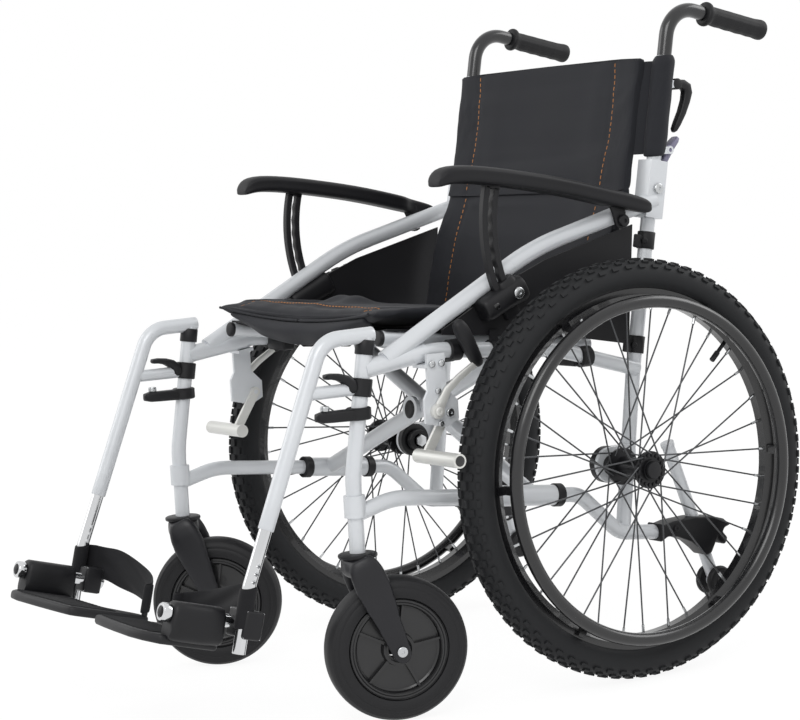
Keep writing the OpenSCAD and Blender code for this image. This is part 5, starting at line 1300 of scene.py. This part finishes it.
for side in sides:
    outer = max(abs(v[0]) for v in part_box(side + "_frame_hardware")) * 1000
    axleCap = barrel(spot(outer - axleForm["capLong"], 0, hubZ), spot(outer, 0, hubZ), axleForm["capR"],
                     40, 2.4)
    settle(axleCap, side + "AxleCap", side + "_frame", "blackPlastic", (), 40, side)
    steel = [barrel(*(spot(x, 0, hubZ) for x in axleForm["nutX"]), axleForm["nutR"], 6, 0.8)]
    for s in (-1, 1):
        at = spot(caneX + s * axleForm["hingeOut"], backY(axleForm["hingeZ"]), axleForm["hingeZ"])
        steel.append(bolt(at, Vector((s, 0, 0)), 8, 5))
    ahead = postY(catchForm["z"]) - catchForm["boltAhead"]
    steel.append(barrel(*(spot(tubeX, ahead, z) for z in catchForm["boltZ"]), 6.4, 28, 1.2))
    settle(united(steel), side + "AxleAndBolts", side + "_frame", "brightSteel",
           (side + "_frame_hardware",), 40, side)
    lever = bar(tubeX, latchForm["lever"], 28, 0.6)
    settle(lever, side + "LatchLever", side + "_leg_latch", "blackPlastic",
           (side + "_hanger_latch",), 50, side)
    tilt = math.radians(postForm["rake"])
    rake = Vector((0, math.sin(tilt), math.cos(tilt)))
    at = spot(tubeX, postY(latchForm["collarZ"]), latchForm["collarZ"])
    saddle = spun([at + Vector((r / 1000, 0, 0)) + rake * (h / 1000) for r, h in latchForm["collar"]], at,
                  rake, 40)
    settle(saddle, side + "LatchSaddle", side + "_leg", "blackPlastic", (), 40, side)
    over = (postY(hangerForm["topZ"]) + hangerForm["pastPost"], hangerForm["topZ"])
    line = filleted([over, hangerForm["knee"], hangerForm["low"]], hangerForm["bend"])
    tube = swept([spot(tubeX, p[0], p[1]) for p in line],
                 [(hangerForm["radius"], hangerForm["radius"])] * len(line), 32)
    rounded(tube, 1.2, 2, 50)
    stub = barrel(spot(tubeX, hangerForm["stubFrom"], hangerForm["stubZ"]),
                  spot(tubeX, postY(hangerForm["stubZ"]) - 8, hangerForm["stubZ"]), hangerForm["stubR"], 32)
    neckLow, neckHigh = hangerForm["neck"]
    neck = barrel(spot(tubeX, postY(neckLow), neckLow), spot(tubeX, postY(neckHigh), neckHigh),
                  hangerForm["radius"], 32)
    settle(united([tube, stub, neck]), side + "HangerTube", side + "_leg", "framePaint",
           (side + "_hanger",), 40, side)
    corners = [plateSpot(px, py, pz) for pz in socketForm["z"] for py in socketForm["y"]
               for px in socketForm["x"]]
    socket = shaped(corners, [], [(0, 2, 3, 1), (4, 5, 7, 6), (0, 1, 5, 4), (2, 6, 7, 3), (0, 4, 6, 2),
                                  (1, 3, 7, 5)])
    rounded(socket, socketForm["bevel"], 3)
    settle(socket, side + "PlateSocket", side + "_leg_ext", "blackPlastic", (), 40, side)
    boss = spun([spot(x, 0, hubZ + r) for x, r in bossForm + bossForm[:1]], spot(tubeX, 0, hubZ),
                (1, 0, 0), 48)
    settle(boss, side + "AxleBoss", side + "_frame", "blackPlastic", (), 35, side)
    top = spot(tubeX, postY(capForm["postTop"]), capForm["postTop"])
    collar = spun([top + Vector((r / 1000, 0, 0)) + rake * (h / 1000) for r, h in capForm["ring"]], top,
                  rake, 40)
    settle(collar, side + "PostCollar", side + "_leg", "blackPlastic", (), 35, side)
for body, x in (("brace_front", railX), ("brace_rear", -railX)):
    profile = [(10.4, 2), (capForm["plugR"], 1), (capForm["plugR"], -3), (capForm["plugR"] - 1, -4.4),
               (capForm["plugR"] - 3, -5), (4, -5.2), (0, -5.2)]
    plug = spun([foldSpot(x + r, capForm["railFront"] + y, capForm["railLift"]) for r, y in profile],
                foldSpot(x, 0, capForm["railLift"]), seatLine, 36)
    settle(plug, body.replace("brace_", "") + "RailPlug", body, "blackPlastic", (), 40)
print("bolts and caps done")
